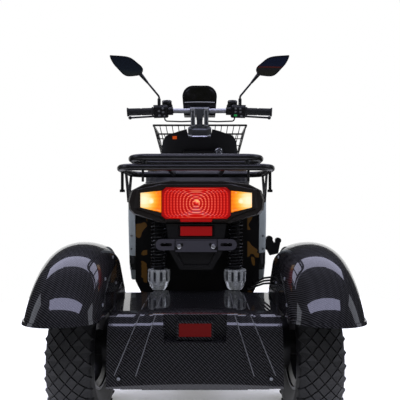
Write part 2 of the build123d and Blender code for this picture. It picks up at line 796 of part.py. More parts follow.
def main_frame():
    """The welded tube frame from the head tube to the shock mounts."""
    shape = head_and_down_tube()
    for side in (-1, 1):
        x = side * rail_x
        top_x = side * seat_rail_x
        shape += rod((x, frame_rear_y - 24, rail_z), (x, frame_front_y, rail_z), frame_tube_radius)
        shape += rod((top_x, seat_rail_rear_y, seat_rail_z), (top_x, seat_rail_front_y, seat_rail_z), seat_rail_radius)
        shape += rod((x, frame_rear_y, rail_z), (top_x, 130, seat_rail_z), post_tube_radius)
        shape += rod((x, seat_post_y, rail_z), (top_x, seat_post_y, seat_rail_z), post_tube_radius)
    for y, z, reach, radius in (
        (frame_front_y, rail_z, rail_x, down_tube_radius + 1.5), (frame_rear_y + 2, rail_z, rail_x, 13),
        (shock_tube_y, seat_rail_z, seat_rail_x, post_tube_radius),
        (seat_rail_front_y - 14, seat_rail_z, seat_rail_x, post_tube_radius),
    ):
        shape += rod((-reach, y, z), (reach, y, z), radius)
    for side in (-1, 1):
        shape += shock_mount(side)
    hinge_plate = block((-30, 30), (seat_rail_front_y - 14, seat_hinge_y), (seat_hinge_z - 5, seat_hinge_z + 3))
    shape += hinge_plate + rod((-30, seat_hinge_y, seat_hinge_z), (30, seat_hinge_y, seat_hinge_z), seat_pin_radius + 4)
    return shape - rod((-31, seat_hinge_y, seat_hinge_z), (31, seat_hinge_y, seat_hinge_z), seat_pin_radius + seat_gap)


def battery():
    """The battery case on the two floor rails, ahead of the rear wheels."""
    low = rail_z + frame_tube_radius + seat_gap
    return fillet(block((-120, 120), (276, 450), (low, 455)).edges().filter_by(Axis.Z), 12)


def storage_bucket():
    """The open tub under the seat, hung by its flange on the seat rails."""
    top = seat_rail_z + seat_rail_radius + seat_gap
    tub = block((-140, 140), (200, 440), (470, body_top_z))
    tub = fillet(tub.edges().filter_by(Axis.Z), 24)
    flange_half = seat_half_width - 8
    flange = block((-flange_half, flange_half), (196, 446), (top, body_top_z))
    inside = block((-136, 136), (204, 436), (474, body_top_z + 10))
    inside = fillet(inside.edges().filter_by(Axis.Z), 20)
    return tub + flange - inside


def side_panel():
    """The right body panel beside the storage tub, with its edges turned inward."""
    points = [
        (body_rear_y, body_top_z), (body_rear_y, 560), (body_rear_y + 22, 420), (body_rear_y + 56, body_bottom_z),
        (480, 340), (body_front_y, 380), (body_front_y, body_top_z),
    ]
    centre = (330, 500)
    inner = [(centre[0] + (y - centre[0]) * 0.965, centre[1] + (z - centre[1]) * 0.94) for y, z in points]
    shell = side_prism(points, 192, body_half_width)
    shell = fillet(shell.faces().sort_by(Axis.X)[-1].edges(), 8)
    return shell - side_prism(inner, 190, body_half_width - panel_wall)


def splash_panel():
    """The dark panel that closes the body behind the shocks."""
    half = 191.7
    low, high = 316, 598
    points = [(-half, high), (-half, low + 54), (-half + 26, low), (half - 26, low), (half, low + 54), (half, high)]
    return rear_prism(points, body_rear_y + 8, body_rear_y + 12)


def body_front_panel():
    """The panel that closes the body towards the rider's feet."""
    low = rail_z + frame_tube_radius + 2 * seat_gap + floor_thickness
    return block((-191.7, 191.7), (body_front_y - 12, body_front_y - 8), (low, seat_rail_z - 16))


tail_bottom_z = 553.0
tail_outline = [
    (73, 671), (142, 662), (179, 643), (187, 616), (184, 590), (172, 578), (92, tail_bottom_z),
    (-92, tail_bottom_z), (-172, 578), (-184, 590), (-187, 616), (-179, 643), (-142, 662), (-73, 671),
]
bezel_outline = [
    (-164, 646), (-97, 661), (97, 661), (164, 646), (168, 594), (100, 570), (84, 558),
    (-84, 558), (-100, 570), (-168, 594),
]
bezel_depth = 7.0


def tail_loft(inset, rear, front):
    """The tail housing's form between two places along Y, moved in by an inset."""
    centre = (0, 612)
    faces = []
    for y, x_factor, z_factor in ((rear, 0.965, 0.94), (rear + 14, 1.0, 1.0), (front, 1.02, 0.98)):
        x_scale = x_factor - inset / 183
        z_scale = z_factor - inset / 59
        plane = Plane(origin=(0, y, 0), x_dir=(1, 0, 0), z_dir=(0, -1, 0))
        faces.append(plane * polygon(scaled_outline(tail_outline, centre, x_scale, z_scale)))
    return loft(faces[:2], ruled=True) + loft(faces[1:], ruled=True)


def tail_housing():
    """The faceted lamp housing behind the seat, open in front and under the shocks."""
    shell = tail_loft(0.0, tail_rear_y, tail_front_y)
    cavity = tail_loft(panel_wall, tail_rear_y, tail_front_y + 20) & block((-250, 250), (tail_rear_y + 5, 200), (400, 800))
    shell -= cavity
    shell -= block((-150, 150), (10, tail_front_y + 5), (540, 612))
    for side in (-1, 1):
        x = side * seat_rail_x
        shell += block((x - 9, x + 9), (tail_rear_y + 4, 20 - seat_gap), (602, 622))
    return shell + tail_bezel()


red_lens_outline = [
    (-93, 575), (-93, 640), (-81, 651), (81, 651), (93, 640), (93, 575),
    (82, 566), (44, 566), (42, 558), (-42, 558), (-44, 566), (-82, 566),
]
amber_lens_outline = [(93.5, 642), (150, 636), (150, 597), (93.5, 583)]


def tail_bezel():
    """The raised frame round the lamps, with sloped outer walls."""
    faces = []
    for y, size in ((tail_rear_y, 1.0), (tail_rear_y - bezel_depth, 0.95)):
        plane = Plane(origin=(0, y, 0), x_dir=(1, 0, 0), z_dir=(0, -1, 0))
        faces.append(plane * polygon(scaled_outline(bezel_outline, (0, 609), size, size)))
    frame = loft(faces, ruled=True)
    rear, front = tail_rear_y - bezel_depth - 5, tail_rear_y
    frame -= rear_prism(scaled_outline(red_lens_outline, (0, 607), 1.012, 1.024), rear, front)
    frame -= block((-43, 43), (rear, front), (550, 562))
    for side in (-1, 1):
        amber = [(side * x, z) for x, z in scaled_outline(amber_lens_outline, (92, 613), 1.02, 1.05)]
        frame -= rear_prism(amber, rear, front)
    return frame


def red_lens():
    """The wide red rear lamp with raised rings round its centre."""
    rear = tail_rear_y - seat_gap
    body = rear_prism(red_lens_outline, rear - lens_depth, rear)
    body = chamfer(body.faces().sort_by(Axis.Y)[0].edges(), 3)
    for reach in (26, 46, 66):
        step = rear_prism(scaled_outline([
            (-1, -0.35), (-1, 0.35), (-0.7, 0.62), (0.7, 0.62), (1, 0.35), (1, -0.35), (0.7, -0.62), (-0.7, -0.62),
        ], (0, 0), reach, reach * 0.8), rear - lens_depth - 1.5, rear - lens_depth + 1)
        gap = rear_prism(scaled_outline([
            (-1, -0.35), (-1, 0.35), (-0.7, 0.62), (0.7, 0.62), (1, 0.35), (1, -0.35), (0.7, -0.62), (-0.7, -0.62),
        ], (0, 0), reach - 6, (reach - 6) * 0.8), rear - lens_depth - 3, rear - lens_depth + 3)
        body += Pos(0, 0, 608) * (step - gap)
    return body


def amber_lens():
    """The right turn lamp, a trapezoid beside the red lamp."""
    rear = tail_rear_y - seat_gap
    body = rear_prism(amber_lens_outline, rear - lens_depth + 2, rear)
    return chamfer(body.faces().sort_by(Axis.Y)[0].edges(), 2)


under_box_rear_y = -58.0


def under_tail_box():
    """The box under the lamps with a framed pocket for a reflector."""
    rear = under_box_rear_y
    top = tail_bottom_z - seat_gap
    body = rear_prism([(-82, top), (-76, 512), (76, 512), (82, top)], rear, rear + 50)
    pocket = rear_prism([(-50, 549), (-50, 517), (50, 517), (50, 549)], rear - 5, rear + 8)
    return body - pocket


def tail_reflector():
    """The bright red reflector in the under-tail pocket."""
    rear = under_box_rear_y
    return rear_prism([(-43, 545), (-43, 520), (43, 520), (43, 545)], rear + 2, rear + 8 - seat_gap)


def plate_bracket():
    """The number plate carrier: a raised middle and two slotted ears."""
    rear = under_box_rear_y - seat_gap
    low, high = 481.0, 511.0
    middle_z = (low + high) / 2
    plate = rear_prism([(-95, low), (95, low), (95, high), (-95, high)], rear - plate_thickness, rear)
    for side in (-1, 1):
        ear = Pos(side * 95, rear - plate_thickness / 2, middle_z) * Rot(X=90) * Cylinder((high - low) / 2, plate_thickness)
        plate += ear
    plate += rear_prism([(-56, 477), (56, 477), (54, 507), (-54, 507)], rear - plate_thickness - 5, rear - plate_thickness)
    slot = extrude(SlotOverall(plate_slot_length, 2 * plate_slot_radius), 30, both=True)
    for side in (-1, 1):
        plate -= Pos(side * plate_slot_spacing / 2, rear, middle_z) * Rot(X=90) * slot
    return plate


def mudflap():
    """The lower tail piece under the plate carrier, with a sunk middle."""
    rear = under_box_rear_y
    points = [(-74, 511.7), (-74, 480), (-44, 428), (44, 428), (74, 480), (74, 511.7)]
    body = rear_prism(points, rear, rear + 12)
    sunk = rear_prism([(-52, 472), (-34, 440), (34, 440), (52, 472)], rear - 1, rear + 6)
    return body - sunk


def rack_loop(half, rear_y, front_y, z, corner):
    """A closed tube loop, rounded at its four corners."""
    loop_half = half - rack_tube_radius
    shape = Part()
    for side in (-1, 1):
        shape += rod((side * loop_half, rear_y + corner, z), (side * loop_half, front_y - corner, z), rack_tube_radius)
    for y in (rear_y, front_y):
        shape += rod((-loop_half + corner, y, z), (loop_half - corner, y, z), rack_tube_radius)
    for x, y, turn in (
        (loop_half - corner, front_y - corner, 0), (-loop_half + corner, front_y - corner, 90),
        (-loop_half + corner, rear_y + corner, 180), (loop_half - corner, rear_y + corner, 270),
    ):
        bend = revolve(Plane.XZ * Pos(corner, 0) * Circle(rack_tube_radius), Axis.Z, revolution_arc=90)
        shape += Pos(x, y, z) * Rot(Z=turn) * bend
    return shape


def rack():
    """The welded luggage rack: two loops, flat bars, stays and hooks."""
    low_z = rack_lower_z
    upper_front_y = rack_rear_y + rack_upper_depth
    shape = rack_loop(rack_lower_half, rack_rear_y, rack_lower_front_y, low_z, rack_corner)
    shape += rack_loop(rack_upper_half, rack_rear_y, upper_front_y, rack_upper_z, rack_corner)
    peg_reach = rack_lower_half - rack_tube_radius
    for side in (-1, 1):
        bar_x = side * 70
        shape += block((bar_x - 5, bar_x + 5), (rack_rear_y, rack_lower_front_y), (low_z - 6, low_z + 6))
        shape += rod((bar_x, upper_front_y, low_z), (bar_x, upper_front_y, rack_upper_z), 5)
        shape += rod((side * 130, rack_rear_y, low_z), (side * 130, rack_rear_y, rack_upper_z), 5)
        peg_x = side * peg_reach
        shape += rod((peg_x, -66, low_z), (peg_x, -66, 640), 4)
        shape += rod((peg_x, -66, 638), (peg_x, -66, 645), 7)
        shape += rod((side * 134, rack_rear_y, low_z), (side * 134, rack_rear_y, 662), 3.2)
        half_width = rack_stay_width / 2
        stay_x = side * rack_stay_x
        shape += side_prism([
            (-40, low_z), (-22, low_z), (14, 640), (50, low_z), (68, low_z), (26, 612), (2, 612),
        ], stay_x - half_width, stay_x + half_width)
        boss = rod((side * 178, 14, 622), (stay_x, 14, 622), 9)
        shape += boss - tail_loft(-seat_gap, tail_rear_y, tail_front_y)
    return shape


def seat_pan():
    """The seat's base board with two hinge ears and the hinge pin."""
    low = body_top_z + seat_gap
    board = block((-seat_half_width + 6, seat_half_width - 6), (seat_rear_y + 6, seat_front_y - 6), (low, low + seat_pan_height))
    board = fillet(board.edges().filter_by(Axis.Z), 40)
    for side in (-1, 1):
        x_low, x_high = sorted((side * 31, side * 39))
        board += block((x_low, x_high), (seat_hinge_y - 9, seat_hinge_y + 9), (seat_hinge_z, low + 2))
        board += rod((x_low, seat_hinge_y, seat_hinge_z), (x_high, seat_hinge_y, seat_hinge_z), 9)
    board += rod((-39, seat_hinge_y, seat_hinge_z), (39, seat_hinge_y, seat_hinge_z), seat_pin_radius)
    return board


def seat_cushion():
    """The padded seat, stepped up towards the passenger's half."""
    low = body_top_z + seat_gap + seat_pan_height + seat_gap
    high = low + seat_cushion_height
    points = [
        (seat_rear_y, low), (seat_rear_y, high - 6), (seat_rear_y + 30, high), (330, high), (366, high - 26),
        (seat_front_y - 60, high - 30), (seat_front_y, high - 46), (seat_front_y, low),
    ]
    body = side_prism(points, -seat_half_width, seat_half_width)
    body = fillet(body.edges().filter_by(Axis.Z), 40)
    return body


# Front body

def shield_outline():
    """The leg shield's outline as (x, distance up the column)."""
    def up(z):
        return (z - column_z - rake_sin * shield_y) / rake_cos
    return [
        (shield_half_width - 12, shield_foot_up), (shield_half_width, 450), (shield_half_width, up(843)), (168, up(903)), (153, up(925)),
        (88, up(946)), (58, up(953)), (50, up(920)), (-50, up(920)), (-58, up(953)), (-88, up(946)), (-153, up(925)),
        (-168, up(903)), (-shield_half_width, up(843)), (-shield_half_width, 450), (-shield_half_width + 12, shield_foot_up),
    ]


def leg_shield():
    """The panel in front of the rider's legs, bent back to meet the floorboard."""
    plane = Plane(origin=(0, shield_y, 0), x_dir=(1, 0, 0), z_dir=(0, -1, 0))
    face = polygon(shield_outline())
    main = column * extrude(plane * face, -9)
    low_rear = column * Location((0, shield_y, shield_foot_up + 2))
    low_front = column * Location((0, shield_y + 9, shield_foot_up + 2))
    y_rear, z_rear = low_rear.position.Y, low_rear.position.Z
    y_front, z_front = low_front.position.Y, low_front.position.Z
    ramp = side_prism([
        (floor_front_y + seat_gap, rail_z + frame_tube_radius + seat_gap), (y_front, z_front), (y_rear, z_rear),
        (floor_front_y + seat_gap, rail_z + frame_tube_radius + seat_gap + 14),
    ], -shield_half_width + 12, shield_half_width - 12)
    return main + ramp


def column_cover():
    """The raised spine down the middle of the leg shield."""
    rear = shield_y - seat_gap
    plan = [(-76, rear), (-60, rear - 26), (60, rear - 26), (76, rear)]
    spine = extrude(Pos(0, 0, 350) * polygon(plan), 420)
    spine -= Pos(key_x, 0, key_up) * Rot(X=90) * Cylinder(key_radius + seat_gap, 400)
    return column * spine


def nose_cover():
    """The hollow front cover round the head tube and steerer."""
    top = 800.0
    rear = shield_y + 9 + seat_gap
    outer = [(-168, rear), (-150, 0), (-80, 56), (80, 56), (150, 0), (168, rear)]
    inner = [(-164, rear - 1), (-146, -2), (-78, 52), (78, 52), (146, -2), (164, rear - 1)]
    shell = extrude(Pos(0, 0, 470) * polygon(outer), top - 470)
    shell -= extrude(Pos(0, 0, 460) * polygon(inner), top - 460 - panel_wall)
    shell -= Pos(0, 0, top) * Cylinder(30, 40)
    return column * shell


def key_switch():
    """The ignition lock beside the spine, on its round boss."""
    base = (key_x, shield_y - seat_gap, key_up)
    boss = rod(base, (key_x, shield_y - seat_gap - 22, key_up), key_radius)
    return column * boss


def shield_button():
    """The small orange rocker switch at the top left of the leg shield."""
    return column * block((-122, -103), (shield_y - seat_gap - 4, shield_y - seat_gap), (822, 835))


def floorboard():
    """The ribbed floor between the leg shield and the seat body."""
    low = rail_z + frame_tube_radius + seat_gap
    board = block((-floor_half_width, floor_half_width), (floor_rear_y + 16, floor_front_y), (low, low + floor_thickness))
    for number in range(9):
        x = -144 + 36 * number
        board += block((x - 8, x + 8), (body_front_y + 20, floor_front_y - 40), (low + floor_thickness, low + floor_thickness + 3))
    return board


def basket():
    """The front basket of crossed wires with a heavier rim."""
    wire = basket_wire / 2
    z_top = basket_rim_z
    z_low = basket_rim_z - basket_height

    def corners(level):
        """Half width, rear and front places of the basket at a level from 0 at the rim to 1 at its floor."""
        half = basket_half_width + (basket_base_half - basket_half_width) * level
        return half, basket_rear_y + basket_base_inset * level, basket_rear_y + basket_depth - basket_base_inset * level

    def bar(start, end, width):
        """A square bar between two points."""
        axis = Vector(*end) - Vector(*start)
        plane = Plane(origin=start, z_dir=axis)
        return extrude(plane * Rectangle(width, width), axis.length)

    pieces = []
    for level, width in ((0.0, basket_rim_wire), (0.33, basket_wire), (0.66, basket_wire), (1.0, basket_wire + 1)):
        half, rear, front = corners(level)
        z = z_top - basket_height * level
        ring_points = [(-half, rear, z), (half, rear, z), (half, front, z), (-half, front, z)]
        for start, end in zip(ring_points, ring_points[1:] + ring_points[:1]):
            pieces.append(bar(start, end, width))
    half_top, rear_top, front_top = corners(0.0)
    half_low, rear_low, front_low = corners(1.0)
    count_x = int(2 * half_top / basket_wire_pitch)
    for number in range(count_x + 1):
        share = number / count_x * 2 - 1
        top_x, low_x = share * half_top, share * half_low
        pieces.append(bar((top_x, rear_top, z_top), (low_x, rear_low, z_low), basket_wire))
        pieces.append(bar((top_x, front_top, z_top), (low_x, front_low, z_low), basket_wire))
        pieces.append(bar((low_x, rear_low, z_low), (low_x, front_low, z_low), basket_wire))
    count_y = int(basket_depth / basket_wire_pitch)
    for number in range(1, count_y):
        share = number / count_y
        top_y = rear_top + (front_top - rear_top) * share
        low_y = rear_low + (front_low - rear_low) * share
        for side in (-1, 1):
            pieces.append(bar((side * half_top, top_y, z_top), (side * half_low, low_y, z_low), basket_wire))
        pieces.append(bar((-half_low, low_y, z_low), (half_low, low_y, z_low), basket_wire))
    return pieces[0].fuse(*pieces[1:])


def basket_bracket():
    """The two arms from the nose to the basket's floor, and the plate between them."""
    top = basket_rim_z - basket_height - basket_wire / 2 - 0.5 - seat_gap
    face = column * Location((0, 56 + seat_gap, (top - 20 - column_z) / rake_cos))
    start = face.position.Y
    arms = Part()
    for side in (-1, 1):
        arms += block((side * 60 - 10, side * 60 + 10), (start + 12, basket_rear_y + 170), (top - 8, top))
    nose = block((-75, 75), (start - 20, start + 30), (top - 40, top))
    cut = column * block((-200, 200), (-200, 56 + seat_gap), (300, 900))
    return (arms + nose) - cut


def clip_holder():
    """The open two-lobed clip on the right side of the body."""
    x = body_half_width + seat_gap
    y = 150.0
    body = rear_prism([
        (x, 492), (x + 8, 502), (x + 22, 500), (x + 30, 484), (x + 38, 494), (x + 50, 492),
        (x + 42, 452), (x + 16, 446), (x + 8, 462), (x, 466),
    ], y - 9, y + 9)
    body += rod((x + 15, y - 9, 498), (x + 15, y + 9, 498), 10)
    body += rod((x + 43, y - 9, 493), (x + 43, y + 9, 493), 9)
    return body & block((x, x + 90), (y - 20, y + 20), (400, 600))


def control_cable():
    """The black cable from the right switch pod to the riser's post."""
    start = bar_end_point(45, 0, -29 - seat_gap)
    run_z = start[2] - 17
    end = (post_x + post_radius + seat_gap, 0, run_z - 2)
    cable = tube_along([start, (start[0], start[1], run_z), (84, -9, run_z - 2), end], 12, 3.2)
    return column * cable


def axle_hoses():
    """Three hoses from the splash panel round to the right fender's inner wall."""
    shape = Part()
    for number in range(3):
        x = 154 + 9 * number
        z = 350 + 9 * number
        start_y = body_rear_y + 8 - seat_gap
        end = (fender_inner_x, -12 - 9 * number, 384 + 10 * number)
        path = [(x, start_y, z), (x + 2, 74, z + 2), (194, 26 - 6 * number, 376 + 9 * number), end]
        shape += tube_along(path, 16, 2.8)
    return shape - block((fender_inner_x - seat_gap, fender_inner_x + 50), (-100, 60), (340, 460))


def front_caliper():
    """The brake caliper on the right fork leg, astride the disc."""
    leg_side = fork_leg_x - fork_leg_radius - seat_gap
    section = polygon([(28, 68), (33, 68), (33, 95), (47, 95), (47, 66), (leg_side, 66), (leg_side, 100), (28, 100)])
    return column * Pos(0, fork_offset, 0) * Rot(X=84) * revolve(section, Axis.X, revolution_arc=56)


if __name__ == "__main__":
    os.makedirs("parts", exist_ok=True)
    front_tyre, front_rim = front_wheel()
    right_tyre, right_rim = rear_wheel(1)
    left_tyre, left_rim = rear_wheel(-1)
    right_fender = fender()
    nodes = {
        "front_tyre": front_tyre,
        "front_rim": front_rim,
        "rear_tyre_right": right_tyre,
        "rear_rim_right": right_rim,
        "rear_tyre_left": left_tyre,
        "rear_rim_left": left_rim,
        "fork": fork(),
        "front_fender": front_fender(),
        "stem_riser": stem_riser(),
        "handlebar": handlebar(),
        "grips": pair(grip()),
        "switch_pods": pair(switch_pod()),
        "brake_masters": pair(brake_master()),
        "brake_levers": pair(brake_lever()),
        "mirror_stems": pair(mirror_stem()),
        "mirror_heads": pair(mirror_head()),
        "mirror_glasses": pair(mirror_glass()),
        "display_housing": display_housing(),
        "headlamp": headlamp(),
        "rear_axle": rear_axle(),
        "swing_arms": swing_arms(),
        "rear_cover": rear_cover(),
        "cover_reflector": cover_reflector(),
        "fender_right": right_fender,
        "fender_left": mirror(right_fender, about=Plane.YZ),
        "fender_brackets": pair(fender_bracket()),
        "shock_bodies": pair(shock_body()),
        "shock_caps": pair(shock_cap()),
        "shock_springs": pair(shock_spring()),
        "main_frame": main_frame(),
        "battery": battery(),
        "storage_bucket": storage_bucket(),
        "side_panels": pair(side_panel()),
        "splash_panel": splash_panel(),
        "body_front_panel": body_front_panel(),
        "tail_housing": tail_housing(),
        "tail_lens_red": red_lens(),
        "tail_lens_amber": pair(amber_lens()),
        "under_tail_box": under_tail_box(),
        "tail_reflector": tail_reflector(),
        "plate_bracket": plate_bracket(),
        "mudflap": mudflap(),
        "rack": rack(),
        "seat_pan": seat_pan(),
        "seat_cushion": seat_cushion(),
        "leg_shield": leg_shield(),
        "column_cover": column_cover(),
        "nose_cover": nose_cover(),
        "key_switch": key_switch(),
        "shield_button": shield_button(),
        "floorboard": floorboard(),
        "basket": basket(),
        "basket_bracket": basket_bracket(),
        "clip_holder": clip_holder(),
        "control_cables": pair(control_cable()),
        "axle_hoses": axle_hoses(),
        "front_caliper": front_caliper(),
    }
    for node, shape in nodes.items():
        save(node, shape)
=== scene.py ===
"""The looks of a three-wheel electric scooter, parked in a bright studio and seen from behind.

Blender works in metres. at() takes a place in millimetres as the scooter's maker measures it, with Y
counted forward from the rear axle, and mm() takes a length.
"""
import json
import math

import bmesh
import bpy
from mathutils import Matrix, Vector


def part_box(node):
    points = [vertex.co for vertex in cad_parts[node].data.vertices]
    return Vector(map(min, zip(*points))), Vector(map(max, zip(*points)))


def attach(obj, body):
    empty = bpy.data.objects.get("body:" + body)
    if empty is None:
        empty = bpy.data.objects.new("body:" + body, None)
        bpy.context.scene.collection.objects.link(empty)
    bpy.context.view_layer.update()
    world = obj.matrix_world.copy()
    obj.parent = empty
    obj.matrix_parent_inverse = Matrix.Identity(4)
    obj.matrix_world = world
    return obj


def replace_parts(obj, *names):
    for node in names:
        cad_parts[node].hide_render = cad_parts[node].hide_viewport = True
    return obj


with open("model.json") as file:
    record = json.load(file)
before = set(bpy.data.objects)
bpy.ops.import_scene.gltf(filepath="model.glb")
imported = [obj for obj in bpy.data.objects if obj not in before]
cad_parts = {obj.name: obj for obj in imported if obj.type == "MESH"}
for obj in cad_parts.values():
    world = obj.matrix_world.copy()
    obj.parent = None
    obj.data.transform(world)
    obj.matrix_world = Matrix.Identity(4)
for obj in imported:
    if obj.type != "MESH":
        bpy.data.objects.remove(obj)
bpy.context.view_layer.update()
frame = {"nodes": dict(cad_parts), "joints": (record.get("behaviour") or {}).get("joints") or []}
nodes = frame["nodes"]
joint_place = {joint["name"]: Vector(joint["pos_m"]) for joint in frame["joints"]}
axle_y = joint_place["rear_wheel_left_spin"].y
side_name = {1: "right", -1: "left"}

# Sizes and places that several pieces share, in millimetres
wheel_radius = round(1000 * joint_place["front_wheel_spin"].z)
shock_x = 114
shock_y = 66
plate_bolt_x = 46
plate_bolt_z = 491.5


def mm(length):
    """A length in millimetres as metres."""
    return length / 1000


def at(x, y, z):
    """A place in millimetres, with Y from the rear axle, as a point of the frame."""
    return Vector((mm(x), mm(y) + axle_y, mm(z)))


def linear(colour):
    """An sRGB hex colour as linear red, green, blue and alpha."""
    shares = [int(colour[i:i + 2], 16) / 255 for i in (1, 3, 5)]
    return [*(c / 12.92 if c <= 0.04045 else ((c + 0.055) / 1.055) ** 2.4 for c in shares), 1.0]


def add(tree, kind, inputs=None, **settings):
    """Adds a node with its settings; each input is another node's output or a plain value."""
    made = tree.nodes.new(kind)
    for key, value in settings.items():
        setattr(made, key, value)
    for key, value in (inputs or {}).items():
        if isinstance(value, bpy.types.NodeSocket):
            tree.links.new(value, made.inputs[key])
        else:
            made.inputs[key].default_value = value
    return made


def finish(name, colour, roughness, **sockets):
    """A new material with constant shader values; gives it, its tree, its shader and its coordinates."""
    made = bpy.data.materials.new(name)
    made.use_nodes = True
    tree = made.node_tree
    shader = tree.nodes["Principled BSDF"]
    for key, value in {"Base Color": linear(colour), "Roughness": roughness, **sockets}.items():
        shader.inputs[key].default_value = value
    place = add(tree, "ShaderNodeTexCoord").outputs["Object"]
    return made, tree, shader, place


def grain(tree, shader, place, size, depth):
    """Raises a fine noise of one grain size, in millimetres, on a finish."""
    noise = add(tree, "ShaderNodeTexNoise", {"Vector": place, "Scale": 1 / mm(size), "Detail": 4.0})
    bump = add(tree, "ShaderNodeBump", {
        "Strength": 1.0, "Distance": mm(depth), "Height": noise.outputs["Fac"]})
    tree.links.new(bump.outputs["Normal"], shader.inputs["Normal"])
    return noise


def shaded(tree, shader, factor, dark, light, low=0.3, high=0.7):
    """Lets a pattern carry the base colour from dark to light."""
    spread = add(tree, "ShaderNodeMapRange", {"Value": factor, "From Min": low, "From Max": high})
    blend = add(tree, "ShaderNodeMix", {0: spread.outputs[0], 6: linear(dark), 7: linear(light)},
                data_type="RGBA")
    tree.links.new(blend.outputs[2], shader.inputs["Base Color"])


def worn(tree, shader, factor, low, high):
    """Lets a pattern carry the roughness between two values."""
    spread = add(tree, "ShaderNodeMapRange", {"Value": factor, "From Min": 0.3, "From Max": 0.7,
                                              "To Min": low, "To Max": high})
    tree.links.new(spread.outputs[0], shader.inputs["Roughness"])


def bands_apart(pitch):
    """The scale that sets a wave texture's bands so many millimetres apart; slanting bands need it twice."""
    return math.pi / 10 / mm(pitch)


def set_bands(ramp, bands):
    """Gives a colour ramp its colours, each from a share of the way along."""
    stops = ramp.color_ramp.elements
    for share, colour in bands[2:]:
        stops.new(share)
    for stop, (share, colour) in zip(stops, bands):
        stop.position = share
        stop.color = linear(colour)


def reach_from(tree, place, spot):
    """How far each point lies from a lamp's bright spot, as seen from behind."""
    centred = add(tree, "ShaderNodeMapping", {
        "Vector": place, "Location": (-spot.x, 0, -spot.z), "Scale": (1.0, 0.0, 1.0)})
    return add(tree, "ShaderNodeVectorMath", {0: centred.outputs[0]}, operation="LENGTH").outputs["Value"]


def carbon_weave_film():
    """Printed carbon-weave film under thick gloss lacquer: fine slanting threads under hard reflections."""
    made, tree, shader, place = finish("carbon_weave_film", "#050506", 0.45, **{
        "Specular IOR Level": 0.1, "Coat Weight": 1.0, "Coat Roughness": 0.02, "Coat IOR": 1.45})
    # The real threads are about 3 mm wide, and are drawn coarser so that they show
    scale = 2 * bands_apart(7.6)
    warp = add(tree, "ShaderNodeTexWave", {"Vector": place, "Scale": scale}, bands_direction="DIAGONAL")
    turned = add(tree, "ShaderNodeMapping", {"Vector": place, "Scale": (1.0, 1.0, -1.0)})
    weft = add(tree, "ShaderNodeTexWave", {"Vector": turned.outputs[0], "Scale": scale / 2},
               bands_direction="DIAGONAL")
    both = add(tree, "ShaderNodeMath", {0: warp.outputs["Fac"], 1: 0.84}, operation="MULTIPLY")
    woven = add(tree, "ShaderNodeMath", {0: weft.outputs["Fac"], 1: 0.16, 2: both.outputs[0]},
                operation="MULTIPLY_ADD")
    shaded(tree, shader, woven.outputs[0], "#010101", "#29292d", 0.5, 0.92)
    return made


def powder_coat(name, colour, roughness=0.36):
    """Powder coat on steel: an even low sheen with a little orange peel."""
    made, tree, shader, place = finish(name, colour, roughness, **{
        "Specular IOR Level": 0.35, "Coat Weight": 0.15, "Coat Roughness": 0.2})
    noise = grain(tree, shader, place, 2.2, 0.05)
    worn(tree, shader, noise.outputs["Fac"], roughness - 0.08, roughness + 0.1)
    return made


def moulded_plastic(name, colour, roughness, grit=1.1, depth=0.06):
    """Moulded ABS with the fine spark-eroded grain of its mould."""
    made, tree, shader, place = finish(name, colour, roughness, **{"Specular IOR Level": 0.25})
    noise = grain(tree, shader, place, grit, depth)
    worn(tree, shader, noise.outputs["Fac"], roughness - 0.06, roughness + 0.08)
    return made


def patched_panel():
    """The dark splash panel, with the ochre patches of the body's printed film towards its sides."""
    made, tree, shader, place = finish("patched_panel", "#0b0b0c", 0.45, **{"Specular IOR Level": 0.2})
    noise = grain(tree, shader, place, 1.1, 0.05)
    worn(tree, shader, noise.outputs["Fac"], 0.4, 0.55)
    parts = add(tree, "ShaderNodeSeparateXYZ", {0: place})
    side = add(tree, "ShaderNodeMath", {0: parts.outputs[0]}, operation="ABSOLUTE")
    near = add(tree, "ShaderNodeMapRange", {
        "Value": side.outputs[0], "From Min": mm(154), "From Max": mm(157)})
    patch = add(tree, "ShaderNodeTexNoise", {
        "Vector": place, "Scale": 1 / mm(52), "Detail": 1.0, "Distortion": 0.6})
    spot = add(tree, "ShaderNodeMath", {0: patch.outputs["Fac"], 1: 0.54}, operation="GREATER_THAN")
    both = add(tree, "ShaderNodeMath", {0: spot.outputs[0], 1: near.outputs[0]}, operation="MULTIPLY")
    shaded(tree, shader, both.outputs[0], "#0a0a0b", "#5a3d0c", 0.3, 0.8)
    return made


def camouflage_film():
    """Printed film in broad slanting bands of light grey and near black under satin lacquer."""
    made, tree, shader, place = finish("camouflage_film", "#8a8b8e", 0.35, **{
        "Specular IOR Level": 0.3, "Coat Weight": 0.4, "Coat Roughness": 0.15})
    parts = add(tree, "ShaderNodeSeparateXYZ", {0: place})
    noise = add(tree, "ShaderNodeTexNoise", {"Vector": place, "Scale": 1 / mm(130), "Detail": 1.5})
    ripple = add(tree, "ShaderNodeMath", {0: noise.outputs["Fac"], 1: mm(60), 2: parts.outputs[2]},
                 operation="MULTIPLY_ADD")
    ahead = add(tree, "ShaderNodeMath", {0: parts.outputs[1], 1: -0.35, 2: ripple.outputs[0]},
                operation="MULTIPLY_ADD")
    height = add(tree, "ShaderNodeMapRange", {
        "Value": ahead.outputs[0], "From Min": mm(340), "From Max": mm(940)})
    ramp = add(tree, "ShaderNodeValToRGB", {"Fac": height.outputs[0]})
    ramp.color_ramp.interpolation = "CONSTANT"
    set_bands(ramp, ((0.0, "#0e0e0f"), (0.08, "#3c2a0c"), (0.16, "#8d959a"), (0.385, "#151617"),
                     (0.475, "#868e94"), (0.8, "#6c7276"), (0.88, "#141415")))
    tree.links.new(ramp.outputs[0], shader.inputs["Base Color"])
    return made


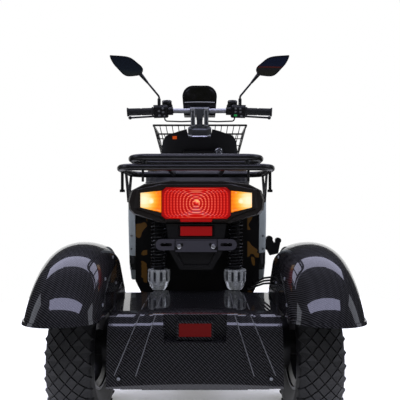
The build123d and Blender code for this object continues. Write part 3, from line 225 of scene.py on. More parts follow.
def lit_red_acrylic():
    """Clear red acrylic lit from behind: the moulded rings break the lamp's light into bright dashes."""
    made, tree, shader, place = finish("lit_red_acrylic", "#5c0202", 0.3, **{
        "Specular IOR Level": 0.2, "Coat Weight": 0.25, "Coat Roughness": 0.15, "Emission Strength": 0.92})
    ridge = add(tree, "ShaderNodeAttribute", attribute_name="ridge")
    reach = reach_from(tree, place, at(2, 0, 612))
    lines = add(tree, "ShaderNodeTexWave", {"Vector": place, "Scale": bands_apart(4.3)}, bands_direction="Z")
    dash = add(tree, "ShaderNodeMapRange", {"Value": lines.outputs["Fac"], "To Min": 0.25, "To Max": 1.0})
    far = add(tree, "ShaderNodeMapRange", {
        "Value": reach, "From Min": mm(22), "From Max": mm(100), "To Min": 1.0, "To Max": 0.55})
    lit = add(tree, "ShaderNodeMath", {0: ridge.outputs["Fac"], 1: dash.outputs[0]}, operation="MULTIPLY")
    light = add(tree, "ShaderNodeMath", {0: lit.outputs[0], 1: far.outputs[0]}, operation="MULTIPLY")
    bulb = add(tree, "ShaderNodeMapRange", {
        "Value": reach, "From Min": mm(2), "From Max": mm(10), "To Min": 0.75, "To Max": 0.0})
    total = add(tree, "ShaderNodeMath", {0: light.outputs[0], 1: bulb.outputs[0]}, operation="ADD")
    ramp = add(tree, "ShaderNodeValToRGB", {"Fac": total.outputs[0]})
    set_bands(ramp, ((0.0, "#820202"), (0.3, "#c80805"), (0.55, "#f23a28"), (0.8, "#ff9a80"),
                     (1.0, "#ffc868")))
    tree.links.new(ramp.outputs[0], shader.inputs["Emission Color"])
    return made


def lit_amber_acrylic():
    """Clear amber acrylic lit from behind: pale at its outer end, deep orange inwards, with level ribs."""
    made, tree, shader, place = finish("lit_amber_acrylic", "#a8480a", 0.15, **{
        "Coat Weight": 1.0, "Coat Roughness": 0.04, "Emission Strength": 1.0})
    folded = add(tree, "ShaderNodeVectorMath", {0: place}, operation="ABSOLUTE").outputs[0]
    glows = []
    for spot, low, high in ((at(142, 0, 617), 6, 44), (at(120, 0, 614), 3, 8)):
        glow = add(tree, "ShaderNodeMapRange", {
            "Value": reach_from(tree, folded, spot), "From Min": mm(low), "From Max": mm(high),
            "To Min": 1.0, "To Max": 0.0})
        glows.append(glow.outputs[0])
    ribs = add(tree, "ShaderNodeTexWave", {"Vector": place, "Scale": bands_apart(3.6)}, bands_direction="Z")
    ribbed = add(tree, "ShaderNodeMath", {0: ribs.outputs["Fac"], 1: 0.4, 2: glows[0]},
                 operation="MULTIPLY_ADD")
    total = add(tree, "ShaderNodeMath", {0: glows[1], 1: 0.4, 2: ribbed.outputs[0]},
                operation="MULTIPLY_ADD")
    ramp = add(tree, "ShaderNodeValToRGB", {"Fac": total.outputs[0]})
    set_bands(ramp, ((0.0, "#b84404"), (0.3, "#ef8410"), (0.6, "#ffb52e"), (0.85, "#ffe08a"),
                     (1.0, "#fff6d2")))
    tree.links.new(ramp.outputs[0], shader.inputs["Emission Color"])
    return made


def prism_reflector_painted_glow(name, dark, light):
    """A moulded red reflector: small prisms in a square grid under a smooth face, with a faint painted glow
    in its lighter red.
    """
    made, tree, shader, place = finish(name, light, 0.4, **{
        "Specular IOR Level": 0.1, "Coat Weight": 0.2, "Coat Roughness": 0.1, "Coat IOR": 1.3,
        "Emission Strength": 0.45})
    prisms = add(tree, "ShaderNodeTexVoronoi", {"Vector": place, "Scale": 1 / mm(7), "Randomness": 0.0},
                 distance="CHEBYCHEV")
    shaded(tree, shader, prisms.outputs["Distance"], light, dark, 0.15, 0.5)
    # The reflector has no lamp of its own: this emission is a painted glow.
    shader.inputs["Emission Color"].default_value = linear(light)
    return made


def chrome_plate():
    """Bright plate on turned metal, a little hazy in places."""
    made, tree, shader, place = finish("chrome_plate", "#d4d6da", 0.1, Metallic=1.0)
    noise = add(tree, "ShaderNodeTexNoise", {"Vector": place, "Scale": 1 / mm(30), "Detail": 3.0})
    worn(tree, shader, noise.outputs["Fac"], 0.06, 0.2)
    return made


def silver_tube():
    """Bright silver painted steel tube, slightly brushed along its length."""
    made, tree, shader, place = finish("silver_tube", "#a9abb0", 0.3, Metallic=0.85)
    drawn = add(tree, "ShaderNodeMapping", {"Vector": place, "Scale": (12.0, 600.0, 600.0)})
    noise = add(tree, "ShaderNodeTexNoise", {"Vector": drawn.outputs[0], "Scale": 1.0, "Detail": 3.0})
    shaded(tree, shader, noise.outputs["Fac"], "#8d8f95", "#c3c5ca")
    worn(tree, shader, noise.outputs["Fac"], 0.24, 0.4)
    return made


def cast_aluminium(name, dark, light):
    """Die-cast aluminium, shot-blasted and clear coated."""
    made, tree, shader, place = finish(name, light, 0.3, Metallic=0.85)
    noise = grain(tree, shader, place, 1.4, 0.05)
    shaded(tree, shader, noise.outputs["Fac"], dark, light)
    return made


def fluted_metal():
    """Polished zinc alloy, bright on its ribs and darkened by painted shade down in its flutes."""
    made, tree, shader, place = finish("polished_cup", "#c6cacf", 0.24, Metallic=0.55)
    flute_shade = add(tree, "ShaderNodeAttribute", attribute_name="ridge")
    # Painted shade: the deeper a point lies in a flute, the darker its colour.
    shaded(tree, shader, flute_shade.outputs["Fac"], "#d3d8dd", "#33363b", 0.1, 0.9)
    noise = add(tree, "ShaderNodeTexNoise", {"Vector": place, "Scale": 1 / mm(14), "Detail": 3.0})
    worn(tree, shader, noise.outputs["Fac"], 0.16, 0.34)
    return made


def tyre_rubber():
    """Carbon-black tyre rubber with the dull bloom of its mould."""
    made, tree, shader, place = finish("tyre_rubber", "#161617", 0.6, **{"Specular IOR Level": 0.35})
    noise = grain(tree, shader, place, 3.0, 0.12)
    shaded(tree, shader, noise.outputs["Fac"], "#0c0c0d", "#1b1c1d")
    return made


def grip_rubber():
    """Soft black rubber with fine ribs across the grip."""
    made, tree, shader, place = finish("grip_rubber", "#131416", 0.6, **{"Specular IOR Level": 0.25})
    ribs = add(tree, "ShaderNodeTexWave", {"Vector": place, "Scale": bands_apart(2.6)}, bands_direction="X")
    bump = add(tree, "ShaderNodeBump", {"Strength": 1.0, "Distance": mm(0.5), "Height": ribs.outputs["Fac"]})
    tree.links.new(bump.outputs["Normal"], shader.inputs["Normal"])
    return made


def grained_vinyl():
    """Black coated fabric with a pebbled leather grain."""
    made, tree, shader, place = finish("grained_vinyl", "#121214", 0.48, **{"Sheen Weight": 0.15})
    pebbles = add(tree, "ShaderNodeTexVoronoi", {"Vector": place, "Scale": 1 / mm(3.2)}, feature="SMOOTH_F1")
    bump = add(tree, "ShaderNodeBump", {
        "Strength": 0.7, "Distance": mm(0.5), "Height": pebbles.outputs["Distance"]})
    tree.links.new(bump.outputs["Normal"], shader.inputs["Normal"])
    shaded(tree, shader, pebbles.outputs["Distance"], "#1a1a1c", "#0c0c0d", 0.0, 0.8)
    return made


def mirror_painted_reflection():
    """Mirror glass with a painted reflection of a dark room: navy above, and on the right olive below a thin
    rust-red line.
    """
    made, tree, shader, place = finish("mirror_painted_reflection", "#10131c", 0.08, **{
        "Specular IOR Level": 0.3, "Coat Weight": 0.5, "Coat IOR": 1.4})
    parts = add(tree, "ShaderNodeSeparateXYZ", {0: place})
    reflection_wobble = add(tree, "ShaderNodeTexNoise", {"Vector": place, "Scale": 1 / mm(60), "Detail": 2.0})
    height = add(tree, "ShaderNodeMath", {0: reflection_wobble.outputs["Fac"], 1: mm(10), 2: parts.outputs[2]},
                 operation="MULTIPLY_ADD")
    level = add(tree, "ShaderNodeMapRange", {
        "Value": height.outputs[0], "From Min": mm(1215), "From Max": mm(1305)})
    # Painted reflection: bands of colour by height, a little wavy, stand for what the glass reflects.
    left_reflection_bands = ((0.0, "#1b1f1e"), (0.3, "#10151c"), (1.0, "#0c1018"))
    right_reflection_bands = ((0.0, "#191914"), (0.36, "#171719"), (0.4, "#3c1610"), (0.47, "#0f1422"), (1.0, "#0c101e"))
    colours = []
    for bands in (left_reflection_bands, right_reflection_bands):
        ramp = add(tree, "ShaderNodeValToRGB", {"Fac": level.outputs[0]})
        set_bands(ramp, bands)
        colours.append(ramp.outputs[0])
    right = add(tree, "ShaderNodeMath", {0: parts.outputs[0], 1: 0.0}, operation="GREATER_THAN")
    blend = add(tree, "ShaderNodeMix", {0: right.outputs[0], 6: colours[0], 7: colours[1]}, data_type="RGBA")
    tree.links.new(blend.outputs[2], shader.inputs["Base Color"])
    return made


def smoked_glass():
    """Smoked polycarbonate over a dark screen."""
    made, tree, shader, place = finish("smoked_glass", "#0a0a07", 0.2, **{
        "Specular IOR Level": 0.2, "Coat Weight": 0.3, "Coat Roughness": 0.08, "Coat IOR": 1.3})
    smears = add(tree, "ShaderNodeTexNoise", {"Vector": place, "Scale": 1 / mm(25), "Detail": 4.0})
    worn(tree, shader, smears.outputs["Fac"], 0.15, 0.3)
    return made


def lamp_glass():
    """Clear polycarbonate lamp glass with moulded flutes."""
    made, tree, shader, place = finish("lamp_glass", "#dfe5ea", 0.08, **{
        "Transmission Weight": 0.35, "Coat Weight": 1.0})
    flutes = add(tree, "ShaderNodeTexWave", {"Vector": place, "Scale": bands_apart(9)}, bands_direction="X")
    bump = add(tree, "ShaderNodeBump", {
        "Strength": 0.6, "Distance": mm(1.0), "Height": flutes.outputs["Fac"]})
    tree.links.new(bump.outputs["Normal"], shader.inputs["Normal"])
    return made


def ribbed_rubber_mat():
    """Black rubber floor mat with a dusty, uneven tone."""
    made, tree, shader, place = finish("ribbed_rubber_mat", "#18181a", 0.65)
    noise = grain(tree, shader, place, 4.0, 0.15)
    shaded(tree, shader, noise.outputs["Fac"], "#131314", "#26262a")
    return made


def glossy_plastic(name, colour):
    """Smooth moulded plastic with a polished skin."""
    made, tree, shader, place = finish(name, colour, 0.3, **{
        "Specular IOR Level": 0.25, "Coat Weight": 0.4, "Coat Roughness": 0.1, "Coat IOR": 1.35})
    grain(tree, shader, place, 6.0, 0.03)
    return made


def pale_paint():
    """The studio's pale painted floor."""
    made, tree, shader, place = finish("pale_paint", "#fcfcfc", 0.8, **{"Specular IOR Level": 0.0})
    noise = add(tree, "ShaderNodeTexNoise", {"Vector": place, "Scale": 1 / mm(400)})
    shaded(tree, shader, noise.outputs["Fac"], "#fafafa", "#fefefe")
    return made


carbon = carbon_weave_film()
black_coat = powder_coat("black_powder_coat", "#0b0b0c")
dull_coat = powder_coat("olive_grey_coat", "#2c2d28", 0.5)
black_abs = moulded_plastic("black_abs", "#0b0b0c", 0.42)
brown_abs = moulded_plastic("brown_black_abs", "#191513", 0.45)
violet_abs = moulded_plastic("violet_grey_abs", "#2c2b33", 0.5)
gloss_abs = glossy_plastic("gloss_black_abs", "#0b0b0c")
camouflage = camouflage_film()
red_lit = lit_red_acrylic()
amber_lit = lit_amber_acrylic()
dark_reflector = prism_reflector_painted_glow("dark_red_reflector", "#240101", "#6a0504")
bright_reflector = prism_reflector_painted_glow("bright_red_reflector", "#560103", "#8c0506")
chrome = chrome_plate()
cup_metal = fluted_metal()
silver = silver_tube()
rubber = tyre_rubber()
soft_rubber = grip_rubber()
vinyl = grained_vinyl()
mirror_glass = mirror_painted_reflection()
screen_glass = smoked_glass()
clear_glass = lamp_glass()
mat_rubber = ribbed_rubber_mat()
orange_abs = glossy_plastic("orange_abs", "#c04a10")
green_abs = glossy_plastic("green_abs", "#1a8a40")
grey_abs = moulded_plastic("grey_abs", "#4a4b4f", 0.45)
gloss_coat = powder_coat("gloss_black_enamel", "#1a1a1d", 0.2)
bright_steel = cast_aluminium("zinc_plated_steel", "#a3a6aa", "#d9dbde")
dark_casting = cast_aluminium("shaded_casting", "#5a5c60", "#83868b")
patched = patched_panel()
cable_rubber = moulded_plastic("cable_rubber", "#0c0c0d", 0.5, 2.0, 0.05)
# Dark plastic for the riser's middle, and for painted shade down its grooves
dark_trim_and_groove_shade = moulded_plastic("dark_trim_and_groove_shade", "#2b2d31", 0.5)
# A pale plastic for the painted highlight along the instrument screen
painted_highlight_strip = glossy_plastic("painted_highlight_plastic", "#9a9ca6")

node_finish = {
    carbon: ("rear_cover", "fender_right", "fender_left", "front_fender"),
    black_coat: ("fork", "main_frame", "swing_arms", "rack", "basket", "basket_bracket", "shock_springs",
                 "brake_levers", "mirror_stems", "brake_masters", "shock_bodies", "front_rim",
                 "rear_rim_right", "rear_rim_left", "front_caliper", "fender_brackets"),
    dull_coat: ("rear_axle",),
    black_abs: ("column_cover", "nose_cover", "body_front_panel", "storage_bucket", "seat_pan",
                "mirror_heads", "switch_pods", "battery", "clip_holder", "under_tail_box", "mudflap"),
    gloss_abs: ("leg_shield", "display_housing"),
    brown_abs: ("tail_housing",),
    violet_abs: ("plate_bracket",),
    camouflage: ("side_panels",),
    patched: ("splash_panel",),
    cable_rubber: ("control_cables", "axle_hoses"),
    red_lit: ("tail_lens_red",),
    amber_lit: ("tail_lens_amber",),
    dark_reflector: ("cover_reflector",),
    bright_reflector: ("tail_reflector",),
    chrome: ("shock_caps", "key_switch"),
    silver: ("handlebar",),
    dark_casting: ("stem_riser",),
    rubber: ("front_tyre", "rear_tyre_right", "rear_tyre_left"),
    soft_rubber: ("grips",),
    mat_rubber: ("floorboard",),
    mirror_glass: ("mirror_glasses",),
    clear_glass: ("headlamp",),
    vinyl: ("seat_cushion",),
    orange_abs: ("shield_button",),
}
for material, names in node_finish.items():
    for name in names:
        nodes[name].data.materials.clear()
        nodes[name].data.materials.append(material)


# Forms

def piece(name, made, material, body, sharp=35):
    """Links a built form as a piece that moves with a body; edges sharper than an angle stay crisp."""
    bmesh.ops.recalc_face_normals(made, faces=made.faces)
    for face in made.faces:
        face.smooth = True
    for edge in made.edges:
        edge.smooth = edge.is_manifold and edge.calc_face_angle() < math.radians(sharp)
    mesh = bpy.data.meshes.new(name)
    made.to_mesh(mesh)
    made.free()
    mesh.materials.append(material)
    obj = bpy.data.objects.new(name, mesh)
    bpy.context.scene.collection.objects.link(obj)
    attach(obj, body)
    return obj


def bridge(made, loops, closed):
    """Joins loops of points by quads; a run that isn't closed gets a cap on its first and last loop."""
    rows = [[made.verts.new(point) for point in loop] for loop in loops]
    pairs = list(zip(rows, rows[1:])) + ([(rows[-1], rows[0])] if closed else [])
    for low, high in pairs:
        for i in range(len(low)):
            j = (i + 1) % len(low)
            made.faces.new((low[i], low[j], high[j], high[i]))
    if not closed:
        made.faces.new(rows[0])
        made.faces.new(rows[-1])


def turned(made, profile, segments):
    """A closed section of (x, radius) points turned about the X axis through the origin."""
    loops = []
    for number in range(segments):
        angle = 2 * math.pi * number / segments
        loops.append([(mm(x), mm(r) * math.sin(angle), -mm(r) * math.cos(angle)) for x, r in profile])
    bridge(made, loops, True)


def plates(made, outline, centre, layers):
    """A form across the scooter: one (x, z) outline, drawn at each (y, share) layer about a centre."""
    loops = []
    for y, share in layers:
        loops.append([at(centre[0] + (x - centre[0]) * share, y, centre[1] + (z - centre[1]) * share)
                      for x, z in outline])
    bridge(made, loops, False)


def swept(name, points, radius, material, body, loop=False):
    """A round strand through points, as a piece."""
    curve = bpy.data.curves.new(name, "CURVE")
    curve.dimensions = "3D"
    curve.bevel_depth = mm(radius)
    curve.bevel_resolution = 2
    curve.use_fill_caps = True
    line = curve.splines.new("POLY")
    line.points.add(len(points) - 1)
    for held, point in zip(line.points, points):
        held.co = (*point, 1.0)
    line.use_cyclic_u = loop
    drawn = bpy.data.objects.new(name + "_line", curve)
    mesh = bpy.data.meshes.new_from_object(drawn)
    bpy.data.objects.remove(drawn)
    made = bmesh.new()
    made.from_mesh(mesh)
    bpy.data.meshes.remove(mesh)
    bmesh.ops.remove_doubles(made, verts=made.verts, dist=1e-6)
    return piece(name, made, material, body)


def circle(radius, sides):
    """The (x, y) points of a regular outline round the origin."""
    angles = [2 * math.pi * number / sides for number in range(sides)]
    return [(radius * math.cos(angle), radius * math.sin(angle)) for angle in angles]


def oblong_reach(angle, wide, tall, power):
    """How far a rounded oblong reaches from its centre at an angle; a power of 2 makes it an ellipse."""
    return (abs(math.cos(angle) / wide) ** power + abs(math.sin(angle) / tall) ** power) ** (-1 / power)


def landed(obj, start, way, lift):
    """Where a ray meets a piece: a list of one point, so many millimetres off its surface, or of none."""
    hit, point, normal, face = obj.ray_cast(start, way)
    return [point + normal * mm(lift)] if hit else []


def screw(made, place, facing, radius, height, sides=20):
    """A domed screw or bolt head with a sunk socket, seated at a place and facing a way."""
    turn = Matrix.Translation(place) @ Vector(facing).to_track_quat("Z", "Y").to_matrix().to_4x4()
    rings = ((1.0, 0.0), (1.0, 0.55), (0.8, 1.0), (0.45, 1.0), (0.42, 0.45))
    loops = []
    for share, rise in rings:
        loops.append([turn @ Vector((x, y, mm(height * rise))) for x, y in circle(mm(radius * share), sides)])
    bridge(made, loops, False)


def copies_tree():
    """One geometry tree: a unit repeated, each copy turned on from the last about the origin."""
    tree = bpy.data.node_groups.new("copies_in_a_ring", "GeometryNodeTree")
    for name, kind in (("Unit", "Geometry"), ("Count", "Int"), ("Turn", "Vector"), ("Finish", "Material")):
        tree.interface.new_socket(name, in_out="INPUT", socket_type="NodeSocket" + kind)
    tree.interface.new_socket("Copies", in_out="OUTPUT", socket_type="NodeSocketGeometry")
    given = add(tree, "NodeGroupInput").outputs
    number = add(tree, "GeometryNodeInputIndex").outputs[0]
    turn = add(tree, "ShaderNodeVectorMath", {0: given["Turn"], "Scale": number}, operation="SCALE")
    points = add(tree, "GeometryNodePoints", {"Count": given["Count"]})
    unit = add(tree, "GeometryNodeGeometryToInstance", {0: given["Unit"]})
    rotation = add(tree, "FunctionNodeEulerToRotation", {0: turn.outputs[0]})
    copies = add(tree, "GeometryNodeInstanceOnPoints", {
        "Points": points.outputs[0], "Instance": unit.outputs[0], "Rotation": rotation.outputs[0]})
    real = add(tree, "GeometryNodeRealizeInstances", {0: copies.outputs[0]})
    finished = add(tree, "GeometryNodeSetMaterial", {0: real.outputs[0], "Material": given["Finish"]})
    add(tree, "NodeGroupOutput", {0: finished.outputs[0]})
    return tree


def repeated(name, unit, material, body, place, count, turn):
    """A piece made of copies of a unit that is built round the origin, moved to its place."""
    obj = piece(name, unit, material, body)
    modifier = obj.modifiers.new("copies", "NODES")
    modifier.node_group = copies_in_a_ring
    wanted = {"Count": count, "Turn": turn, "Finish": material}
    for socket in copies_in_a_ring.interface.items_tree:
        if socket.name in wanted:
            modifier[socket.identifier] = wanted[socket.name]
    graph = bpy.context.evaluated_depsgraph_get()
    mesh = bpy.data.meshes.new_from_object(obj.evaluated_get(graph))
    obj.modifiers.clear()
    obj.data = mesh
    mesh.transform(Matrix.Translation(place))
    return obj


copies_in_a_ring = copies_tree()


# Wheels

def crown_radius(x, half):
    """The tread's radius at a distance from the tyre's middle, 16 mm lower near its edges."""
    return wheel_radius - 16 * abs(x / (0.9 * half)) ** 2.8


def dressed_tyre(node, body, width):
    """A road tyre with a criss-cross tread of diamond blocks, ribbed side walls and a bead."""
    half = width / 2
    centre = joint_place[body + "_spin"]
    crown = [(x * half, crown_radius(x * half, half) - 4.5) for x in (0.86, 0.7, 0.5, 0.25, 0.0)]
    wall = [(0.72, 127.4), (0.8, 134), (0.9, 144), (0.97, 156), (0.98, 158), (1.0, 160), (1.0, 168),
            (0.985, 170), (0.985, 178), (0.97, 186), (0.93, 194)]
    right = [(x * half, r) for x, r in wall] + crown
    profile = right + [(-x, r) for x, r in reversed(right[:-1])]
    made = bmesh.new()
    turned(made, profile, 96)
    carcass = piece(node + "_carcass", made, rubber, body, 50)
    carcass.data.transform(Matrix.Translation(centre))
    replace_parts(carcass, node)
    blocks = 38
    pitch = 2 * math.pi / blocks
    row_gap = half * 0.265
    made = bmesh.new()
    for row in range(-3, 4):
        offset = 0.5 * (row % 2)
        top, foot = [], []
        for dx, turn in ((1, 0), (0, 1), (-1, 0), (0, -1)):
            for ring, share, sink in ((top, 0.86, 0.0), (foot, 0.93, 6.0)):
                x = (row + dx * share) * row_gap
                radius = crown_radius(x, half) - sink
                angle = (offset + turn * share * 0.5) * pitch
                ring.append((mm(x), mm(radius) * math.sin(angle), -mm(radius) * math.cos(angle)))
        bridge(made, [foot, top], False)
    repeated(node + "_tread", made, rubber, body, centre, blocks, (pitch, 0, 0))


def wheel_nuts(side):
    """The five nuts on a rear wheel's hub."""
    body = "rear_wheel_" + side_name[side]
    nut = bmesh.new()
    screw(nut, Vector((mm(side * 42), mm(27.5), 0)), (side, 0, 0), 5.5, 6, 6)
    repeated(body + "_nuts", nut, chrome, body, joint_place[body + "_spin"], 5,
             (math.radians(72), 0, 0))


dressed_tyre("front_tyre", "front_wheel", 92)
dressed_tyre("rear_tyre_right", "rear_wheel_right", 112)
dressed_tyre("rear_tyre_left", "rear_wheel_left", 112)
for side in (1, -1):
    wheel_nuts(side)


# Springs

coil_wire = 2.1


def coil(side):
    """The points of one shock's coil spring, wound a little closer at its ends."""
    low, high, radius, turns, steps = 415.5, 621.5, 23.5, 21, 20
    points = []
    for number in range(turns * steps + 1):
        angle = 2 * math.pi * number / steps
        share = number / (turns * steps)
        eased = share - 0.022 * math.sin(2 * math.pi * share)
        height = low + coil_wire + (high - low - 2 * coil_wire) * eased
        x = side * shock_x + radius * math.cos(angle)
        points.append(at(x, shock_y + radius * math.sin(angle), height))
    return points


for side in (1, -1):
    wound = swept("shock_coil_" + side_name[side], coil(side), coil_wire, gloss_coat, "chassis")
    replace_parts(wound, "shock_springs")


# Lamps

red_outline = [
    (-93, 575), (-93, 640), (-81, 651), (81, 651), (93, 640), (93, 575),
    (82, 566), (44, 566), (42, 558), (-42, 558), (-44, 566), (-82, 566),
]


def ringed_lens():
    """The red lamp's cover: a slab with moulded rings, round at the bulb and oblong at the rim."""
    made = bmesh.new()
    plates(made, red_outline, (0, 607), ((-60.4, 1.0), (-69, 1.0), (-71, 0.975)))
    ring_mark = made.verts.layers.float.new("ridge")
    slab_corners = len(made.verts)
    rings, around = 10, 120
    loops, marks = [], []
    for number in range(rings * 2 + 1):
        share = number / (rings * 2)
        wide = 5 + 83 * share
        tall = wide / (1 + (wide / 41) ** 4) ** 0.25
        power = 2 + 4.5 * share ** 1.5
        ridge = number % 2
        outline = []
        for step in range(around):
            angle = 2 * math.pi * (step + 0.5) / around
            reach = oblong_reach(angle, wide, tall, power)
            outline.append((reach * math.cos(angle), 607.5 + reach * math.sin(angle)))
        loops.append([at(x, -71.2 - 1.9 * ridge, z) for x, z in outline])
        marks += [ridge] * around
    loops.append([at(x, -70.0, z) for x, z in outline])
    bridge(made, loops, False)
    for corner, mark in zip(list(made.verts)[slab_corners:], marks):
        corner[ring_mark] = mark
    return piece("red_lamp_cover", made, red_lit, "chassis", 20)


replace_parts(ringed_lens(), "tail_lens_red")


def ribbed_lens(side):
    """A turn lamp's cover: a trapezoid with sloped rim and fine upright flutes on its face."""
    made = bmesh.new()
    outline = [(side * x, z) for x, z in ((94, 642), (150, 636), (150, 597), (94, 583))]
    plates(made, outline, (side * 122, 614), ((-60.4, 1.0), (-67, 1.0), (-69, 0.95)))
    flutes = 12
    for number in range(flutes):
        x = 98 + number * 4.1
        share = (x - 94) / 56
        low, high = 583 + 14 * share + 3.5, 642 - 6 * share - 3.0
        rib = [(side * (x + dx), z) for dx, z in ((0, low), (3.4, low), (3.4, high), (0, high))]
        plates(made, rib, (side * (x + 1.7), (low + high) / 2), ((-68.5, 1.0), (-69.8, 0.9), (-70.4, 0.6)))
    return piece("amber_lamp_cover_" + side_name[side], made, amber_lit, "chassis", 20)


for side in (1, -1):
    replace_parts(ribbed_lens(side), "tail_lens_amber")


# Fasteners and trim

def hardware():
    """The screws round the body, fenders and cover, and the plate carrier's bolts with their washers."""
    rows = (
        # X, Y, Z, facing, radius, height, on both sides
        (203, 103.8, 510, (0, -1, 0), 3.2, 2.0), (203, 103.8, 470, (0, -1, 0), 3.2, 2.0),
        (206, 112.0, 410, (0, -1, 0), 3.2, 2.0), (211.6, -130, 470, (-1, 0, 0), 4.0, 2.5),
        (211.6, -215, 428, (-1, 0, 0), 4.0, 2.5), (211.6, -90, 398, (-1, 0, 0), 4.0, 2.5),
        (211.6, -240, 372, (-1, 0, 0), 4.0, 2.5), (178, -222.6, 196, (0, -1, 0), 4.5, 2.5),
        (86, -46.8, 500, (0, -1, 0), 3.0, 1.8),
    )
    made = bmesh.new()
    for x, y, z, facing, radius, height in rows:
        for side in (1, -1):
            screw(made, at(side * x, y, z), (side * facing[0], *facing[1:]), radius, height)
    piece("body_screws", made, dark_casting, "chassis", 40)
    made = bmesh.new()
    for side in (1, -1):
        screw(made, at(side * plate_bolt_x, -66.4, plate_bolt_z), (0, -1, 0), 6.0, 1.2, 24)
        screw(made, at(side * plate_bolt_x, -67.4, plate_bolt_z), (0, -1, 0), 4.4, 4.0, 6)
    piece("plate_bolts", made, bright_steel, "chassis", 30)


hardware()


def crease_highlight_beads():
    """Fine pale beads along the creases that run over the rear cover and down its back, a painted highlight
    where the creases catch the light.
    """
    cover = nodes["rear_cover"]
    edge_z, foot_z = 334, 200
    for side in (1, -1):
        for number, (top_x, foot_x) in enumerate(((96, 139), (134, 190))):
            points = []
            for y in range(-10, -170, -16):
                points += landed(cover, at(side * top_x, y, 600), Vector((0, 0, -1)), -0.4)
            for z in range(edge_z, foot_z, -12):
                x = top_x + (foot_x - top_x) * (edge_z - z) / (edge_z - foot_z)
                points += landed(cover, at(side * x, -900, z), Vector((0, 1, 0)), -0.4)
            # Each pale bead is a painted highlight on its crease.
            swept(f"cover_crease_{number}_{side_name[side]}", points, 1.4, grey_abs, "chassis")


crease_highlight_beads()


def plate_seams():
    """The dark seams between the plate carrier's middle and its ears, and the slots behind its bolts."""
    made = bmesh.new()
    run, rise = 0.82, 0.57  # the slots slope by 35 degrees
    for side in (1, -1):
        seam = [(side * 57.2, 480.5), (side * 59.2, 480.5), (side * 57.8, 511.5), (side * 55.8, 511.5)]
        plates(made, seam, (side * 57.5, 496), ((-61.2, 1.0), (-61.9, 1.0)))
        slot = []
        for x, y in circle(4.4, 20):
            along = x + (9 if x > 0 else -9)
            across = plate_bolt_x + run * along + rise * y
            slot.append((side * across, plate_bolt_z - rise * along + run * y))
        plates(made, slot, (side * plate_bolt_x, plate_bolt_z), ((-66.1, 1.0), (-66.6, 1.0)))
    piece("plate_carrier_seams", made, black_abs, "chassis")


plate_seams()


# Controls

column = Matrix.Translation(joint_place["steering"]) @ Matrix.Rotation(math.radians(24), 4, "X")
bar_bend_x = 118
bar_up = 930
bar_sweep = math.radians(8)
riser_x = 31


def on_column(x, y, up):
    """A point in the steering column's own frame, in millimetres."""
    return column @ Vector((mm(x), mm(y), mm(up)))


def on_bar(side, along, forward, up):
    """A point by the bar past its bend: along it, ahead of it and above it, in millimetres."""
    x = bar_bend_x + along * math.cos(bar_sweep) + forward * math.sin(bar_sweep)
    y = -along * math.sin(bar_sweep) + forward * math.cos(bar_sweep)
    return on_column(side * x, y, bar_up + up)


def strips(name, boxes, material):
    """Flat plates with softened faces on the riser, each by its x, y and z reaches on the column."""
    made = bmesh.new()
    edge = 0.8
    for (x0, x1), (front, rear), (z0, z1) in boxes:
        loops = []
        for y, inset in ((front, 0), (rear + edge, 0), (rear, edge)):
            corners = ((x0 + inset, z0 + inset), (x1 - inset, z0 + inset), (x1 - inset, z1 - inset),
                       (x0 + inset, z1 - inset))
            loops.append([on_column(x, y, z) for x, z in corners])
        bridge(made, loops, False)
    return piece(name, made, material, "steering")


def riser_trim():
    """The riser's bright channels, with painted shade as dark strips down their grooves, its dark middle and
    its casting's bright lower rim.
    """
    strips("riser_channels", [((x - 10, x + 10), (-10, -18), (862, 946)) for x in (-riser_x, riser_x)],
           bright_steel)
    # Dark strips down the channels' grooves: painted shade.
    strips("riser_groove_shade", [((x - 5.5, x + 5.5), (-17.8, -18.6), (868, 936)) for x in (-riser_x, riser_x)],
           dark_trim_and_groove_shade)
    strips("riser_middle", [((-15, 15), (-9, -17), (892, 938)), ((-11, 11), (-9, -14), (876, 888))],
           dark_trim_and_groove_shade)
    rim = [on_column(x, y, 817) for x, y in ((-54, -9), (-33, -33.4), (0, -34.4), (33, -33.4), (54, -9))]
    swept("casting_rim", rim, 4.2, bright_steel, "steering")


riser_trim()


def fluted_cup(side):
    """The bright cup at the foot of a shock, with shallow flutes round its wall."""
    made = bmesh.new()
    flute_shade_mark = made.verts.layers.float.new("ridge")
    profile = (
        # radius, height, share of the flutes' depth
        (18.5, 353, 0), (20, 353, 0), (27, 363, 0), (29, 373, 0), (32.4, 378, 0.4), (33, 382, 1),
        (33, 405, 1), (32.6, 409, 0.3), (32.0, 413, 0), (18.5, 413, 0),
    )
    around, flutes, depth = 160, 10, 3.4
    loops, marks = [], []
    for number in range(around):
        angle = 2 * math.pi * (number + 0.5) / around
        sunk = max(0.0, math.cos(flutes * angle)) ** 0.5
        loop = []
        for radius, height, deep in profile:
            reach = radius - depth * sunk * deep
            x = side * shock_x + reach * math.cos(angle)
            loop.append(at(x, shock_y + reach * math.sin(angle), height))
            marks.append(sunk * deep)
        loops.append(loop)
    bridge(made, loops, True)
    # Each corner keeps how deep it lies in a flute, which the finish turns into painted shade.
    for corner, mark in zip(made.verts, marks):
        corner[flute_shade_mark] = mark
    return piece("shock_cup_" + side_name[side], made, cup_metal, "chassis", 28)


for side in (1, -1):
    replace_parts(fluted_cup(side), "shock_caps")


